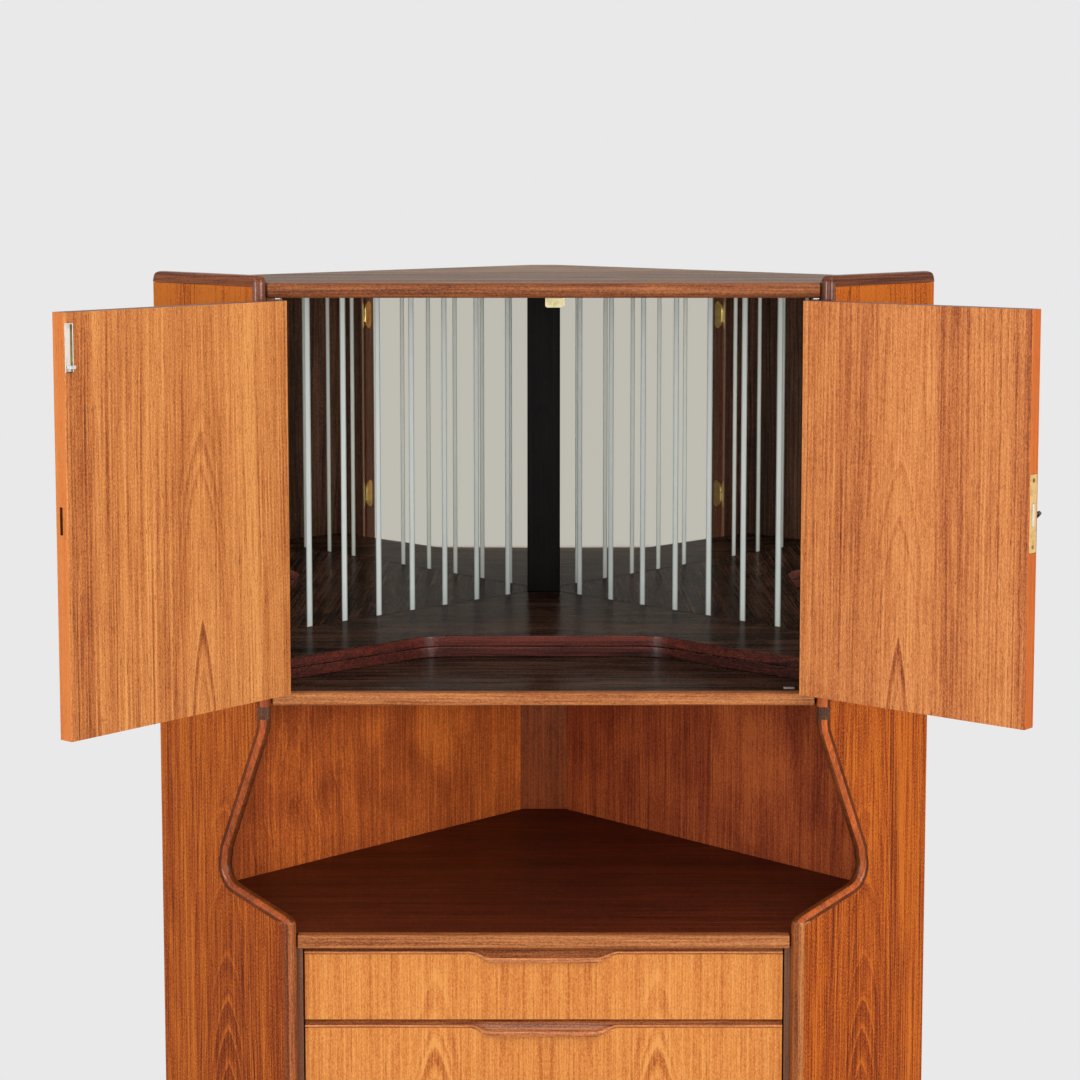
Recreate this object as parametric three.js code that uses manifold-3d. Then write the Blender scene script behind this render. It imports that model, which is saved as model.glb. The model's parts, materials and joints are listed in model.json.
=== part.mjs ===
// Corner bar cabinet, mid-century teak: a mirrored bar cupboard with two doors at the top,
// an open display niche in the middle and four drawers below, on a recessed plinth.
// Millimetres, +Z up. The room corner is behind the cabinet (+Y), the front faces -Y,
// x = 0 is the cabinet's plane of symmetry, z = 0 is the floor.
import * as THREE from 'three';
import { mergeVertices } from 'three/addons/utils/BufferGeometryUtils.js';
import Module from 'manifold-3d';

const wasm = await Module();
wasm.setup();

// ---------------------------------------------------------------- driving dimensions
const HALF_BACK = 470;        // half the width, at the rear outer edges
const Y_REAR = -153.5;        // y of those rear edges
const WALL = HALF_BACK + Y_REAR; // |x| + y on the outer back faces (the room's walls)
const T_SIDE = 18;            // side panels
const T_BACK = 11;            // back panels
const GAP = 0.3;              // joint line between separate pieces
const Z_TOP = 1340;           // top of the side panels
const Z_PLINTH = 60;          // underside of the case
const S_UP = 190.8;           // side panel, rear edge to the centre of its rounded front edge, upper part
const S_LOW = 233.2;          // the same below the niche
const NOSE = 9;               // radius of the rounded front edges
const LIP_TOP = 13;           // height of the solid strip along the top of a side panel

const TOP_Z = [1313.8, 1331.3];   // top board
const FLOOR_Z = [836.7, 852.4];   // floor of the bar cupboard
const WORK_Z = [553.8, 570.3];    // worktop, floor of the niche
const BOTTOM_Z = [60.3, 76];      // bottom board
const Y_FRONT_UP = -286.4;        // front edges of top board and bar floor
const Y_FRONT_LOW = -316.5;       // front edge of the worktop
const LIP_DEPTH = 12;             // solid front lippings of the boards

const PLATFORM_Z = [852.7, 865.9, 866.2, 879.6]; // two stacked boards in the bar
const PLATFORM_FRONT = -68.5;
const MIRROR_OUT = 295.5;         // |x| + y on the mirror faces at their outer ends
const MIRROR_APEX = 287.6;        // and where the two faces meet: they stand half a degree off the walls
const BAR_STRIP_HALF = 22.2;      // dark strip in the corner of the bar
const NICHE_STRIP_HALF = 33;      // chamfer strip in the corner of the niche

const DOOR_Z = [853.4, 1311.5];
const DOOR_T = 20;
const DOOR_W_LEFT = 324.5;
const DOOR_W_RIGHT = 294.3;
const AXIS_X = 310.9;             // hinge pins
const AXIS_Y = -284.2;
const PIN_TO_FACE = 3;            // pin centre to the door's outer face
const OPEN_LEFT = 130.1;          // opening angles as stored, degrees
const OPEN_RIGHT = 140.4;
const HINGE_Z = [939, 1230];      // centres of the lower and upper hinges

const LOCK_Z = 1090;              // centre of the lock and of its slot
const BOLT_Z = 1088.5;            // centre of the lock's bolt
const KEY_Z = 1083.4;
const KEY_TURN = 40;              // degrees the key stands turned
const DRAWER_HALF = 281.2;        // half the width of a drawer front
const DRAWER_FACE = -304.5;       // y of the drawer faces
const DRAWER_T = 16;              // thickness of a drawer front
const DRAWERS = [                 // top and bottom of each front
  [552.6, 464.7],
  [463.5, 336.3],
  [335.1, 207.9],
  [206.7, 79.5],
];
const BOX_HALF = 281.3;           // outer half width of a drawer box
const BOX_REAR = 14;
const BOX_SIDE = 12;
const PARTITION_X = [283, 295];

// ---------------------------------------------------------------- materials
const mat = (color, roughness, metalness = 0) => new THREE.MeshStandardMaterial({ color, roughness, metalness });
const TEAK = 0xa9602c, TEAK_LIGHT = 0xd08a45, TEAK_DARK = 0x6e3b20, WORKTOP = 0x4a1d10, ROSEWOOD = 0x2a1815;
const BRASS = 0xc9a44a, STEEL = 0xb9bab8, BEECH = 0xc9a678, PLY = 0xb58a5a, BLACK = 0x1a1210;

// ---------------------------------------------------------------- helpers
function toManifold(geometry) {
  let g = geometry.clone();
  for (const name of Object.keys(g.attributes)) if (name !== 'position') g.deleteAttribute(name);
  g = mergeVertices(g, 1e-4);
  return new wasm.Manifold(new wasm.Mesh({
    numProp: 3,
    vertProperties: new Float32Array(g.attributes.position.array),
    triVerts: new Uint32Array(g.index.array),
  }));
}
function toGeometry(manifold) {
  const m = manifold.getMesh();
  const g = new THREE.BufferGeometry();
  const pos = new Float32Array(m.numVert * 3);
  for (let i = 0; i < m.numVert; i++) for (let k = 0; k < 3; k++) pos[3 * i + k] = m.vertProperties[m.numProp * i + k];
  g.setAttribute('position', new THREE.BufferAttribute(pos, 3));
  g.setIndex(new THREE.BufferAttribute(new Uint32Array(m.triVerts), 1));
  g.computeVertexNormals();
  return g;
}
const cut = (base, ...tools) => toGeometry(tools.reduce((m, t) => m.subtract(toManifold(t)), toManifold(base)));
const join = (base, ...parts) => toGeometry(parts.reduce((m, t) => m.add(toManifold(t)), toManifold(base)));
const common = (a, b) => toGeometry(toManifold(a).intersect(toManifold(b)));

// box from low corner to high corner
function box(x0, y0, z0, x1, y1, z1) {
  const g = new THREE.BoxGeometry(Math.abs(x1 - x0), Math.abs(y1 - y0), Math.abs(z1 - z0));
  g.translate((x0 + x1) / 2, (y0 + y1) / 2, (z0 + z1) / 2);
  return g;
}
// plan outline [x, y] raised from z0 to z1
function prism(points, z0, z1) {
  const shape = new THREE.Shape(points.map(([x, y]) => new THREE.Vector2(x, y)));
  const g = new THREE.ExtrudeGeometry(shape, { depth: z1 - z0, bevelEnabled: false });
  g.translate(0, 0, z0);
  return g;
}
// elevation outline [x, z] with y running from y0 to y1
function frontPrism(points, y0, y1) {
  const shape = new THREE.Shape(points.map(([x, z]) => new THREE.Vector2(x, z)));
  const g = new THREE.ExtrudeGeometry(shape, { depth: y1 - y0, bevelEnabled: false });
  g.rotateX(Math.PI / 2);          // (x, z, d) -> (x, -d, z)
  g.translate(0, y1, 0);
  return g;
}
// section outline [y, z] with x running from x0 to x1
function sidePrism(points, x0, x1, steps = 1) {
  const shape = new THREE.Shape(points.map(([y, z]) => new THREE.Vector2(y, z)));
  const g = new THREE.ExtrudeGeometry(shape, { depth: x1 - x0, steps, bevelEnabled: false });
  g.applyMatrix4(new THREE.Matrix4().makeBasis(new THREE.Vector3(0, 1, 0), new THREE.Vector3(0, 0, 1), new THREE.Vector3(1, 0, 0)));
  g.translate(x0, 0, 0);
  return g;
}
function cylinderZ(r, x, y, z0, z1, n = 20) {
  const g = new THREE.CylinderGeometry(r, r, z1 - z0, n);
  g.rotateX(Math.PI / 2);
  g.translate(x, y, (z0 + z1) / 2);
  return g;
}
function cylinderY(r, x, z, y0, y1, n = 20) {
  const g = new THREE.CylinderGeometry(r, r, y1 - y0, n);
  g.translate(x, (y0 + y1) / 2, z);
  return g;
}
const mirrored = (points) => points.map(([x, y]) => [-x, y]);

const cabinet = new THREE.Group();
function add(parent, name, geometry, color, roughness, metalness = 0) {
  const mesh = new THREE.Mesh(geometry, mat(color, roughness, metalness));
  mesh.name = name;
  parent.add(mesh);
  return mesh;
}

// ---------------------------------------------------------------- side panels
// Their own frame: s along the panel from its rear edge to the front, z up, d through the thickness.
function sideFrame(side) {
  const m = new THREE.Matrix4();
  const h = Math.SQRT1_2;
  if (side > 0) {
    m.makeBasis(new THREE.Vector3(-h, -h, 0), new THREE.Vector3(0, 0, 1), new THREE.Vector3(-h, h, 0));
    m.setPosition(HALF_BACK, Y_REAR, 0);
  } else {
    m.makeBasis(new THREE.Vector3(h, -h, 0), new THREE.Vector3(0, 0, 1), new THREE.Vector3(-h, -h, 0));
    m.setPosition(-HALF_BACK + T_SIDE * h, Y_REAR + T_SIDE * h, 0);
  }
  return m;
}
// front edge of the veneered panel, from the top down: straight, raking back below the bar,
// rounded at the deepest point of the niche, then forward again to the lower part
function frontEdge(offset) {
  const pts = [];
  const up = S_UP + offset;
  const n = [Math.cos(Math.atan2(73, 155)), -Math.sin(Math.atan2(73, 155))]; // out of the raking edge
  const o = (s, z, a, b) => [s + a * offset, z + b * offset];
  pts.push([up, 822]);
  for (const [s, z, t] of [[190.7, 815, 0.2], [189.8, 810.5, 0.6], [188.2, 806, 1]]) pts.push(o(s, z, 1 - t + t * n[0], t * n[1]));
  pts.push(o(117.2, 655.5, n[0], n[1]));
  const centre = [143.5, 632.5];  // of the rounding
  const r = 30.5;
  for (let a = 156; a <= 258; a += 17) {
    const c = Math.cos(a * Math.PI / 180), s = Math.sin(a * Math.PI / 180);
    pts.push([centre[0] + (r - offset) * c, centre[1] + (r - offset) * s]);
  }
  pts.push([S_LOW - 3.4 + 0.21 * offset, 583.9 + 0.978 * offset]);
  pts.push([S_LOW - 0.9 + 0.75 * offset, 582.3 + 0.75 * offset]);
  pts.push([S_LOW + offset, 579.5 + 0.4 * offset]);
  return pts;
}
function sideOutline(offset, s0, zTop, zBottom, rTop) {
  const up = S_UP + offset;
  const pts = [[s0, zBottom]];
  if (rTop) {
    // rounded rear top corner and front top corner
    pts.push([s0, zTop - rTop]);
    for (const a of [30, 60]) pts.push([s0 + rTop * (1 - Math.cos(a * Math.PI / 180)), zTop - rTop * (1 - Math.sin(a * Math.PI / 180))]);
    pts.push([s0 + rTop, zTop]);
    pts.push([up - rTop, zTop]);
    for (const a of [30, 60]) pts.push([up - rTop + rTop * Math.sin(a * Math.PI / 180), zTop - rTop * (1 - Math.cos(a * Math.PI / 180))]);
    pts.push([up, zTop - rTop]);
  } else {
    pts.push([s0, zTop]);
    pts.push([up, zTop]);
  }
  for (const p of frontEdge(offset)) pts.push(p);
  pts.push([S_LOW + offset, zBottom]);
  return pts;
}
function sidePlate(points, d0, d1, bevel = 0) {
  const shape = new THREE.Shape(points.map(([s, z]) => new THREE.Vector2(s, z)));
  const g = new THREE.ExtrudeGeometry(shape, bevel
    ? { depth: d1 - d0 - 2 * bevel, bevelEnabled: true, bevelThickness: bevel, bevelSize: bevel, bevelOffset: -bevel, bevelSegments: 3 }
    : { depth: d1 - d0, bevelEnabled: false });
  g.translate(0, 0, d0 + bevel);
  return g;
}
// solid whose outline changes through the thickness: rings of equal point count, closed by flat ends
function loft(rings, depths) {
  const n = rings[0].length;
  const flat = (ring) => ring.map(([u, v]) => new THREE.Vector2(u, v));
  if (THREE.ShapeUtils.area(flat(rings[0])) < 0) rings = rings.map((ring) => ring.slice().reverse());
  const pos = [], idx = [];
  rings.forEach((ring, k) => ring.forEach(([u, v]) => pos.push(u, v, depths[k])));
  for (let k = 0; k + 1 < rings.length; k++) {
    for (let i = 0; i < n; i++) {
      const a = k * n + i, b = k * n + (i + 1) % n, c = a + n, d = b + n;
      idx.push(a, b, d, a, d, c);
    }
  }
  for (const k of [0, rings.length - 1]) {
    for (const [a, b, c] of THREE.ShapeUtils.triangulateShape(flat(rings[k]), [])) {
      idx.push(...(k ? [a, b, c] : [a, c, b]).map((i) => i + k * n));
    }
  }
  const g = new THREE.BufferGeometry();
  g.setAttribute('position', new THREE.BufferAttribute(new Float32Array(pos), 3));
  g.setIndex(idx);
  g.computeVertexNormals();
  return g;
}
for (const [side, tag] of [[-1, 'left'], [1, 'right']]) {
  const frame = sideFrame(side);
  const panel = sidePlate(sideOutline(-GAP, 0, Z_TOP - LIP_TOP - GAP, Z_PLINTH + GAP, 0), 0, T_SIDE);
  // solid edge band: a half round front edge and a softened top, less the panel
  const angles = [-90, -65, -42, -20, 0, 20, 42, 65, 90].map((a) => a * Math.PI / 180);
  const rings = angles.map((a) => {
    const c = Math.max(0, Math.cos(a));
    return sideOutline(NOSE * c, 0, Z_TOP - 4 * (1 - Math.pow(c, 0.4)), Z_PLINTH + GAP, 7);
  });
  const rounded = loft(rings, angles.map((a) => T_SIDE / 2 + T_SIDE / 2 * Math.sin(a)));
  const core = sidePlate(sideOutline(0, -40, Z_TOP - LIP_TOP, -40, 0), -5, T_SIDE + 5);
  const band = cut(rounded, core);
  panel.applyMatrix4(frame);
  band.applyMatrix4(frame);
  add(cabinet, `side_panel_${tag}`, panel, TEAK, 0.45);
  add(cabinet, `side_lipping_${tag}`, band, TEAK_DARK, 0.4);
}

// ---------------------------------------------------------------- back panels and corner pieces
const backSum = WALL - T_BACK * Math.SQRT2;   // |x| + y on their inner faces
const sideIn = HALF_BACK - Y_REAR - T_SIDE * Math.SQRT2; // x - y on the right panel's inner face
const g2 = GAP * Math.SQRT2;
{
  const sEnd = (HALF_BACK - Y_REAR - T_SIDE * Math.SQRT2) - g2; // x - y at the panel's end
  const outer = [(WALL + sEnd) / 2, (WALL - sEnd) / 2];
  const inner = [(backSum + sEnd) / 2, (backSum - sEnd) / 2];
  const right = [[GAP / 2, backSum - GAP / 2], inner, outer, [WALL - 306, 306], [GAP / 2, 306]];
  add(cabinet, 'back_panel_right', prism(right, Z_PLINTH + GAP, TOP_Z[0] - GAP), PLY, 0.6);
  add(cabinet, 'back_panel_left', prism(mirrored(right), Z_PLINTH + GAP, TOP_Z[0] - GAP), PLY, 0.6);
}
const stripSection = (half, sum) => {
  const y = sum - half;
  return [[-half + g2, y], [half - g2, y], [4, sum - g2 - 4], [-4, sum - g2 - 4]];
};
add(cabinet, 'niche_corner_strip', prism(stripSection(NICHE_STRIP_HALF, backSum), WORK_Z[1] + GAP, FLOOR_Z[0] - GAP), TEAK, 0.45);
add(cabinet, 'bar_corner_strip', prism(stripSection(BAR_STRIP_HALF, MIRROR_APEX), PLATFORM_Z[3] + GAP, TOP_Z[0] - GAP), BLACK, 0.35);

// ---------------------------------------------------------------- boards
// outline of a board between the side panels: front edge, side panels' inner faces, back
function boardOutline(yFront, backSumAt, flatY) {
  const s = sideIn - g2;
  const b = backSumAt - g2;
  const xf = s + yFront;
  const half = [[xf, yFront], [(b + s) / 2, (b - s) / 2], [b - flatY, flatY]];
  return [...half, ...mirrored(half).reverse()];
}
// solid front lipping with rounded edges
function boardLipping(half, yFront, z0, z1, r) {
  const yb = yFront + LIP_DEPTH - GAP;
  const zc = (z0 + z1) / 2, h = (z1 - z0) / 2;
  const pts = [[yb, z0], [yFront + r, z0]];
  for (const a of [30, 60]) pts.push([yFront + r - r * Math.sin(a * Math.PI / 180), zc - (h - r) - r * Math.cos(a * Math.PI / 180)]);
  pts.push([yFront, zc - (h - r)], [yFront, zc + (h - r)]);
  for (const a of [60, 30]) pts.push([yFront + r - r * Math.sin(a * Math.PI / 180), zc + (h - r) + r * Math.cos(a * Math.PI / 180)]);
  pts.push([yFront + r, z1], [yb, z1]);
  return sidePrism(pts, -half, half);
}
const boltX = -AXIS_X + 318.5, boltY = AXIS_Y + PIN_TO_FACE + 16.6; // upright slide bolt of the left door, when closed
{
  const top = prism(boardOutline(Y_FRONT_UP + LIP_DEPTH, WALL + g2, 298.8), TOP_Z[0], TOP_Z[1]);
  add(cabinet, 'top_board', cut(top, box(boltX - 4, boltY - 2.4, TOP_Z[0] - 1, boltX + 4, boltY + 2.4, TOP_Z[0] + 9)), TEAK_DARK, 0.6);
}
add(cabinet, 'top_lipping', boardLipping(317.9, Y_FRONT_UP, TOP_Z[0], TOP_Z[1], 6), TEAK_DARK, 0.45);
add(cabinet, 'bar_floor', prism(boardOutline(Y_FRONT_UP + LIP_DEPTH, backSum, 296), FLOOR_Z[0], FLOOR_Z[1]), ROSEWOOD, 0.3);
add(cabinet, 'bar_floor_lipping', boardLipping(316.9, Y_FRONT_UP, FLOOR_Z[0], FLOOR_Z[1], 3.5), TEAK, 0.45);
add(cabinet, 'worktop', prism(boardOutline(Y_FRONT_LOW + LIP_DEPTH, backSum, 296), WORK_Z[0], WORK_Z[1]), WORKTOP, 0.3);
add(cabinet, 'worktop_lipping', boardLipping(287.6, Y_FRONT_LOW, WORK_Z[0], WORK_Z[1], 3.5), TEAK, 0.45);
add(cabinet, 'bottom_board', prism(boardOutline(DRAWER_FACE, backSum, 296), BOTTOM_Z[0], BOTTOM_Z[1]), BEECH, 0.7);

// ---------------------------------------------------------------- bar cupboard: mirrors and raised platform
{
  const s = sideIn - g2 - 1;
  const end = [(MIRROR_OUT + s) / 2, (MIRROR_OUT - s) / 2];
  const run = Math.hypot(end[0], end[1] - MIRROR_APEX);
  const u = [end[0] / run, (end[1] - MIRROR_APEX) / run];   // along the glass
  const n = [-u[1], u[0]];                                  // out of its back
  const at = (l, d) => [u[0] * l + n[0] * d, MIRROR_APEX + u[1] * l + n[1] * d];
  const right = [at(8, 0), at(run, 0), at(run, 3.5), at(8, 3.5)];
  add(cabinet, 'mirror_right', prism(right, PLATFORM_Z[3] + GAP, TOP_Z[0] - 0.5), 0xd8dcda, 0.05, 1);
  add(cabinet, 'mirror_left', prism(mirrored(right), PLATFORM_Z[3] + GAP, TOP_Z[0] - 0.5), 0xd8dcda, 0.05, 1);
}
{
  // front outline: straight in the middle, rounded bends, then running out to the side panels
  const s = sideIn - g2, b = backSum - g2;
  const dir = [0.75, -0.6614];
  const bend = 141;
  const tEnd = (s - (bend - PLATFORM_FRONT)) / (dir[0] - dir[1]);
  const end = [bend + dir[0] * tEnd, PLATFORM_FRONT + dir[1] * tEnd];
  const r = 75, half = Math.atan2(-dir[1], dir[0]) / 2;
  const back = r * Math.tan(half);
  const curve = [];
  for (let i = 0; i <= 6; i++) {
    const a = (i / 6) * 2 * half;
    curve.push([bend - back + r * Math.sin(a), PLATFORM_FRONT - r * (1 - Math.cos(a))]);
  }
  const rightHalf = [...curve, end, [(b + s) / 2, (b - s) / 2], [b - 296, 296]];
  const outline = [...rightHalf, ...mirrored(rightHalf).reverse()];
  add(cabinet, 'platform_lower', prism(outline, PLATFORM_Z[0], PLATFORM_Z[1]), ROSEWOOD, 0.25);
  add(cabinet, 'platform_upper', prism(outline, PLATFORM_Z[2], PLATFORM_Z[3]), ROSEWOOD, 0.25);
}

// ---------------------------------------------------------------- hinges: two-knuckle lift-off, rounded leaves
const KN_R = 3, KN_H = 11;
function leafOutline(grow = 0) {
  // [y, z] about the hinge centre, y measured from the pin
  const w0 = 3.4, w1 = 16.5, h = 22;
  const pts = [[w0, -15], [w0 + 3.2, -h + 3.5], [w0 + 6, -h + 0.6], [w0 + 8.5, -h], [w1 - 1.8, -h + 2], [w1, -h + 6], [w1, h - 6], [w1 - 1.8, h - 2],
    [w0 + 8.5, h], [w0 + 6, h - 0.6], [w0 + 3.2, h - 3.5], [w0, 15]];
  if (!grow) return pts;
  const c = [(w0 + w1) / 2, 0];
  return pts.map(([y, z]) => [y + Math.sign(y - c[0]) * grow, z + Math.sign(z) * grow * 1.2]);
}
// sx = +1: the opening lies on the +x side of the pin (left door), -1: right door. All in the closed position.
function movingLeaf(sx, z) {
  let plate = sidePrism(leafOutline().map(([y, h]) => [y, h + z]), 0.15, 1.55);
  const web = box(0.15, 1.95, z + 0.2, 1.55, 4.2, z + KN_H);
  const knuckle = cylinderZ(KN_R, 0, 0, z + 0.2, z + KN_H, 24);
  const bore = cylinderZ(1.75, 0, 0, z - 1, z + KN_H + 1, 20);
  let g = cut(join(plate, web, knuckle), bore);
  if (sx < 0) g = flipX(g);
  return g;
}
function fixedLeaf(sx, z) {
  const plate = sidePrism(leafOutline().map(([y, h]) => [y, h + z]), -1.55, -0.15);
  const web = box(-1.55, 1.95, z - KN_H, -0.15, 4.2, z - 0.2);
  const knuckle = cylinderZ(KN_R, 0, 0, z - KN_H, z - 0.2, 24);
  const pin = cylinderZ(1.4, 0, 0, z - KN_H + 1, z + KN_H - 1, 16);
  let g = join(plate, web, knuckle, pin);
  if (sx < 0) g = flipX(g);
  return g;
}
function flipX(g) {
  const f = g.clone();
  const p = f.attributes.position;
  for (let i = 0; i < p.count; i++) p.setX(i, -p.getX(i));
  const idx = f.index;
  for (let i = 0; i < idx.count; i += 3) {
    const a = idx.getX(i + 1);
    idx.setX(i + 1, idx.getX(i + 2));
    idx.setX(i + 2, a);
  }
  f.computeVertexNormals();
  return f;
}
const pocketMoving = (z) => sidePrism(leafOutline(GAP).map(([y, h]) => [y, h + z]), 0, 1.9);
const pocketFixed = (z) => sidePrism(leafOutline(GAP).map(([y, h]) => [y, h + z]), -1.9, 0.6);

// ---------------------------------------------------------------- hinge jambs
for (const [side, tag] of [[-1, 'left'], [1, 'right']]) {
  // section in the left hinge's own axes (x from the pin, y from the pin), mirrored for the right
  const xa = -AXIS_X, ya = AXIS_Y;
  const lineX = (y) => -(sideIn - g2) - y - ya - xa; // the left panel's inner face: x + y = -(sideIn)
  const pts = [[-0.5, 3.7], [-0.5, 28], [lineX(28) * 1, 28], [lineX(10.5), 10.5], [-8.4, 5.4], [-8.2, 3.7]];
  let g = prism(pts, FLOOR_Z[1] + GAP, TOP_Z[0] - GAP);
  g = cut(g, ...HINGE_Z.map(pocketFixed));
  if (side > 0) g = flipX(g);
  const mesh = add(cabinet, `hinge_jamb_${tag}`, g, TEAK_DARK, 0.45);
  mesh.position.set(side * AXIS_X, AXIS_Y, 0);
  HINGE_Z.forEach((z, i) => {
    const leaf = add(cabinet, `hinge_${tag}_${i ? 'upper' : 'lower'}_fixed`, fixedLeaf(-side, z), BRASS, 0.35, 1);
    leaf.position.set(side * AXIS_X, AXIS_Y, 0);
  });
}

// ---------------------------------------------------------------- striking bracket under the top board
{
  const y0 = AXIS_Y + PIN_TO_FACE + DOOR_T + 0.7;
  const zt = TOP_Z[0] - GAP;
  const flange = box(1.8, boltY - 5, zt - 1.2, 24, y0 + 1.3, zt);
  const tongue = frontPrism([[1.8, zt], [1.8, zt - 9.6], [2.6, zt - 11.2], [4.3, zt - 12], [21.5, zt - 12], [23.2, zt - 11.2], [24, zt - 9.6], [24, zt]], y0, y0 + 1.3);
  const hole = box(boltX - 4.2, boltY - 2.6, zt - 5, boltX + 4.2, boltY + 2.6, zt + 5);
  add(cabinet, 'strike_bracket', cut(join(flange, tongue), hole), BRASS, 0.35, 1);
}

// ---------------------------------------------------------------- doors
// built closed, about the pin; x runs from the pin towards the other door
function doorBlank(x0, x1) {
  const y0 = PIN_TO_FACE, y1 = PIN_TO_FACE + DOOR_T, r = 1.6, k = 0.47;
  const c = [[x0 + r, y0], [x1 - r, y0], [x1 - k, y0 + k], [x1, y0 + r], [x1, y1 - r], [x1 - k, y1 - k], [x1 - r, y1],
    [x0 + r, y1], [x0 + k, y1 - k], [x0, y1 - r], [x0, y0 + r], [x0 + k, y0 + k]];
  return prism(c, DOOR_Z[0], DOOR_Z[1]);
}
const boltMid = PIN_TO_FACE + 9.8;   // lock bolt and its slot, through the thickness
{
  const group = new THREE.Group();
  group.position.set(-AXIS_X, AXIS_Y, 0);
  group.rotation.z = -OPEN_LEFT * Math.PI / 180;
  cabinet.add(group);
  const xf = 0.5 + DOOR_W_LEFT;
  let door = doorBlank(0.5, xf);
  door = cut(door,
    ...HINGE_Z.map(pocketMoving),
    box(xf - 11, boltMid - 2.3, LOCK_Z - 15, xf + 5, boltMid + 2.3, LOCK_Z + 15),                       // slot for the lock bolt
    box(312.2, PIN_TO_FACE + DOOR_T - 6.3, 1247.7, 324.2, PIN_TO_FACE + DOOR_T + 5, 1300.3),           // recess for the slide bolt
    box(318.5 - 3.4, PIN_TO_FACE + 16.6 - 1.9, 1290, 318.5 + 3.4, PIN_TO_FACE + 16.6 + 1.9, 1320));    // its way out of the top edge
  add(group, 'door_left', door, TEAK, 0.45);
  HINGE_Z.forEach((z, i) => add(group, `hinge_left_${i ? 'upper' : 'lower'}_moving`, movingLeaf(1, z), BRASS, 0.35, 1));
  // slide bolt: a channel let into the inner face, with a flat bolt and its knob
  const yIn = PIN_TO_FACE + DOOR_T;
  const channel = cut(
    box(312.5, yIn - 6, 1248, 323.9, yIn, 1300),
    box(313.7, yIn - 5, 1247, 322.7, yIn + 1, 1298.8),
    box(318.5 - 3.4, PIN_TO_FACE + 16.6 - 1.9, 1290, 318.5 + 3.4, PIN_TO_FACE + 16.6 + 1.9, 1310));
  add(group, 'slide_bolt_channel', channel, STEEL, 0.35, 1);
  const rod = box(318.5 - 3, PIN_TO_FACE + 16.6 - 1.5, 1252, 318.5 + 3, PIN_TO_FACE + 16.6 + 1.5, 1310.7);
  const knob = box(318.5 - 3.6, PIN_TO_FACE + 16.6 - 1, 1252, 318.5 + 3.6, yIn + 6.5, 1255.6);
  add(group, 'slide_bolt', join(rod, knob), STEEL, 0.3, 1);
}
{
  const group = new THREE.Group();
  group.position.set(AXIS_X, AXIS_Y, 0);
  group.rotation.z = OPEN_RIGHT * Math.PI / 180;
  cabinet.add(group);
  const xf = 0.5 + DOOR_W_RIGHT;
  // built as a left-hand door and mirrored
  const caseX = xf - 42, yc = PIN_TO_FACE + 10;
  const keyX = xf - 14, keyZ = KEY_Z;
  let door = cut(doorBlank(0.5, xf),
    ...HINGE_Z.map(pocketMoving),
    box(xf - 2.3, yc - 7.8, LOCK_Z - 43.3, xf + 5, yc + 7.8, LOCK_Z + 43.3),     // let-in for the face plate
    box(caseX - 0.3, yc - 6.3, LOCK_Z - 35.3, xf + 5, yc + 6.3, LOCK_Z + 35.3),  // mortise for the case
    cylinderY(3, keyX, keyZ, PIN_TO_FACE - 5, yc, 20),
    box(keyX - 1.6, PIN_TO_FACE - 5, keyZ - 8.5, keyX + 1.6, yc, keyZ));         // keyhole
  door = flipX(door);
  add(group, 'door_right', door, TEAK, 0.45);
  HINGE_Z.forEach((z, i) => add(group, `hinge_right_${i ? 'upper' : 'lower'}_moving`, movingLeaf(-1, z), BRASS, 0.35, 1));
  let lock = join(box(xf - 2, yc - 7.5, LOCK_Z - 43, xf, yc + 7.5, LOCK_Z + 43), box(caseX, yc - 6, LOCK_Z - 35, xf - 1, yc + 6, LOCK_Z + 35));
  lock = cut(lock,
    box(xf - 32, boltMid - 2.2, BOLT_Z - 12.8, xf + 1, boltMid + 2.2, BOLT_Z + 12.8),  // way of the bolt
    cylinderY(9, keyX, keyZ, yc - 7, yc - 2.6, 28));                                  // room for the key's bit
  add(group, 'lock_case', flipX(lock), BRASS, 0.35, 1);
  add(group, 'lock_bolt', flipX(box(xf - 22, boltMid - 1.8, BOLT_Z - 12.5, xf + 0.2, boltMid + 1.8, BOLT_Z + 12.5)), STEEL, 0.3, 1);
  // key: stem, bit and a flat ring bow, built upright about the stem and then turned
  const stem = cylinderY(1.7, 0, 0, -12, yc - 3.1, 16);
  const bit = box(-0.9, yc - 5.4, -7.6, 0.9, yc - 3.1, 0);
  const ring = new THREE.Shape();
  ring.absellipse(0, 0, 6.5, 8, 0, Math.PI * 2, false, 0);
  const eye = new THREE.Path();
  eye.absellipse(0, -0.4, 4, 5.2, 0, Math.PI * 2, false, 0);
  ring.holes.push(eye);
  const bow = new THREE.ExtrudeGeometry(ring, { depth: 2.2, bevelEnabled: false, curveSegments: 14 });
  // the ring's plane holds the stem's axis
  bow.translate(0, 0, -1.1);
  bow.applyMatrix4(new THREE.Matrix4().makeBasis(new THREE.Vector3(0, 0, 1), new THREE.Vector3(0, -1, 0), new THREE.Vector3(1, 0, 0)));
  bow.translate(0, -19, 0);
  const key = join(stem, bit, bow);
  key.rotateY(KEY_TURN * Math.PI / 180);
  key.translate(keyX, 0, keyZ);
  add(group, 'key', flipX(key), STEEL, 0.35, 1);
}

// ---------------------------------------------------------------- partitions with runner battens
const grooveZ = DRAWERS.map(([zt, zb], i) => (i ? zb + 62 : zb + 38));
{
  const [x0, x1] = PARTITION_X;
  const wall = prism([[x0, -304], [292, -304], [x1, -301.4], [x1, 2], [x0, 2]], BOTTOM_Z[1] + GAP, WORK_Z[0] - GAP);
  const battens = grooveZ.map((z) => box(x0 - 8, -278, z - 6, x0 + 1, 0, z + 6));
  const right = join(wall, ...battens);
  add(cabinet, 'drawer_partition_right', right, TEAK_DARK, 0.5);
  add(cabinet, 'drawer_partition_left', flipX(right), TEAK_DARK, 0.5);
}

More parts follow.
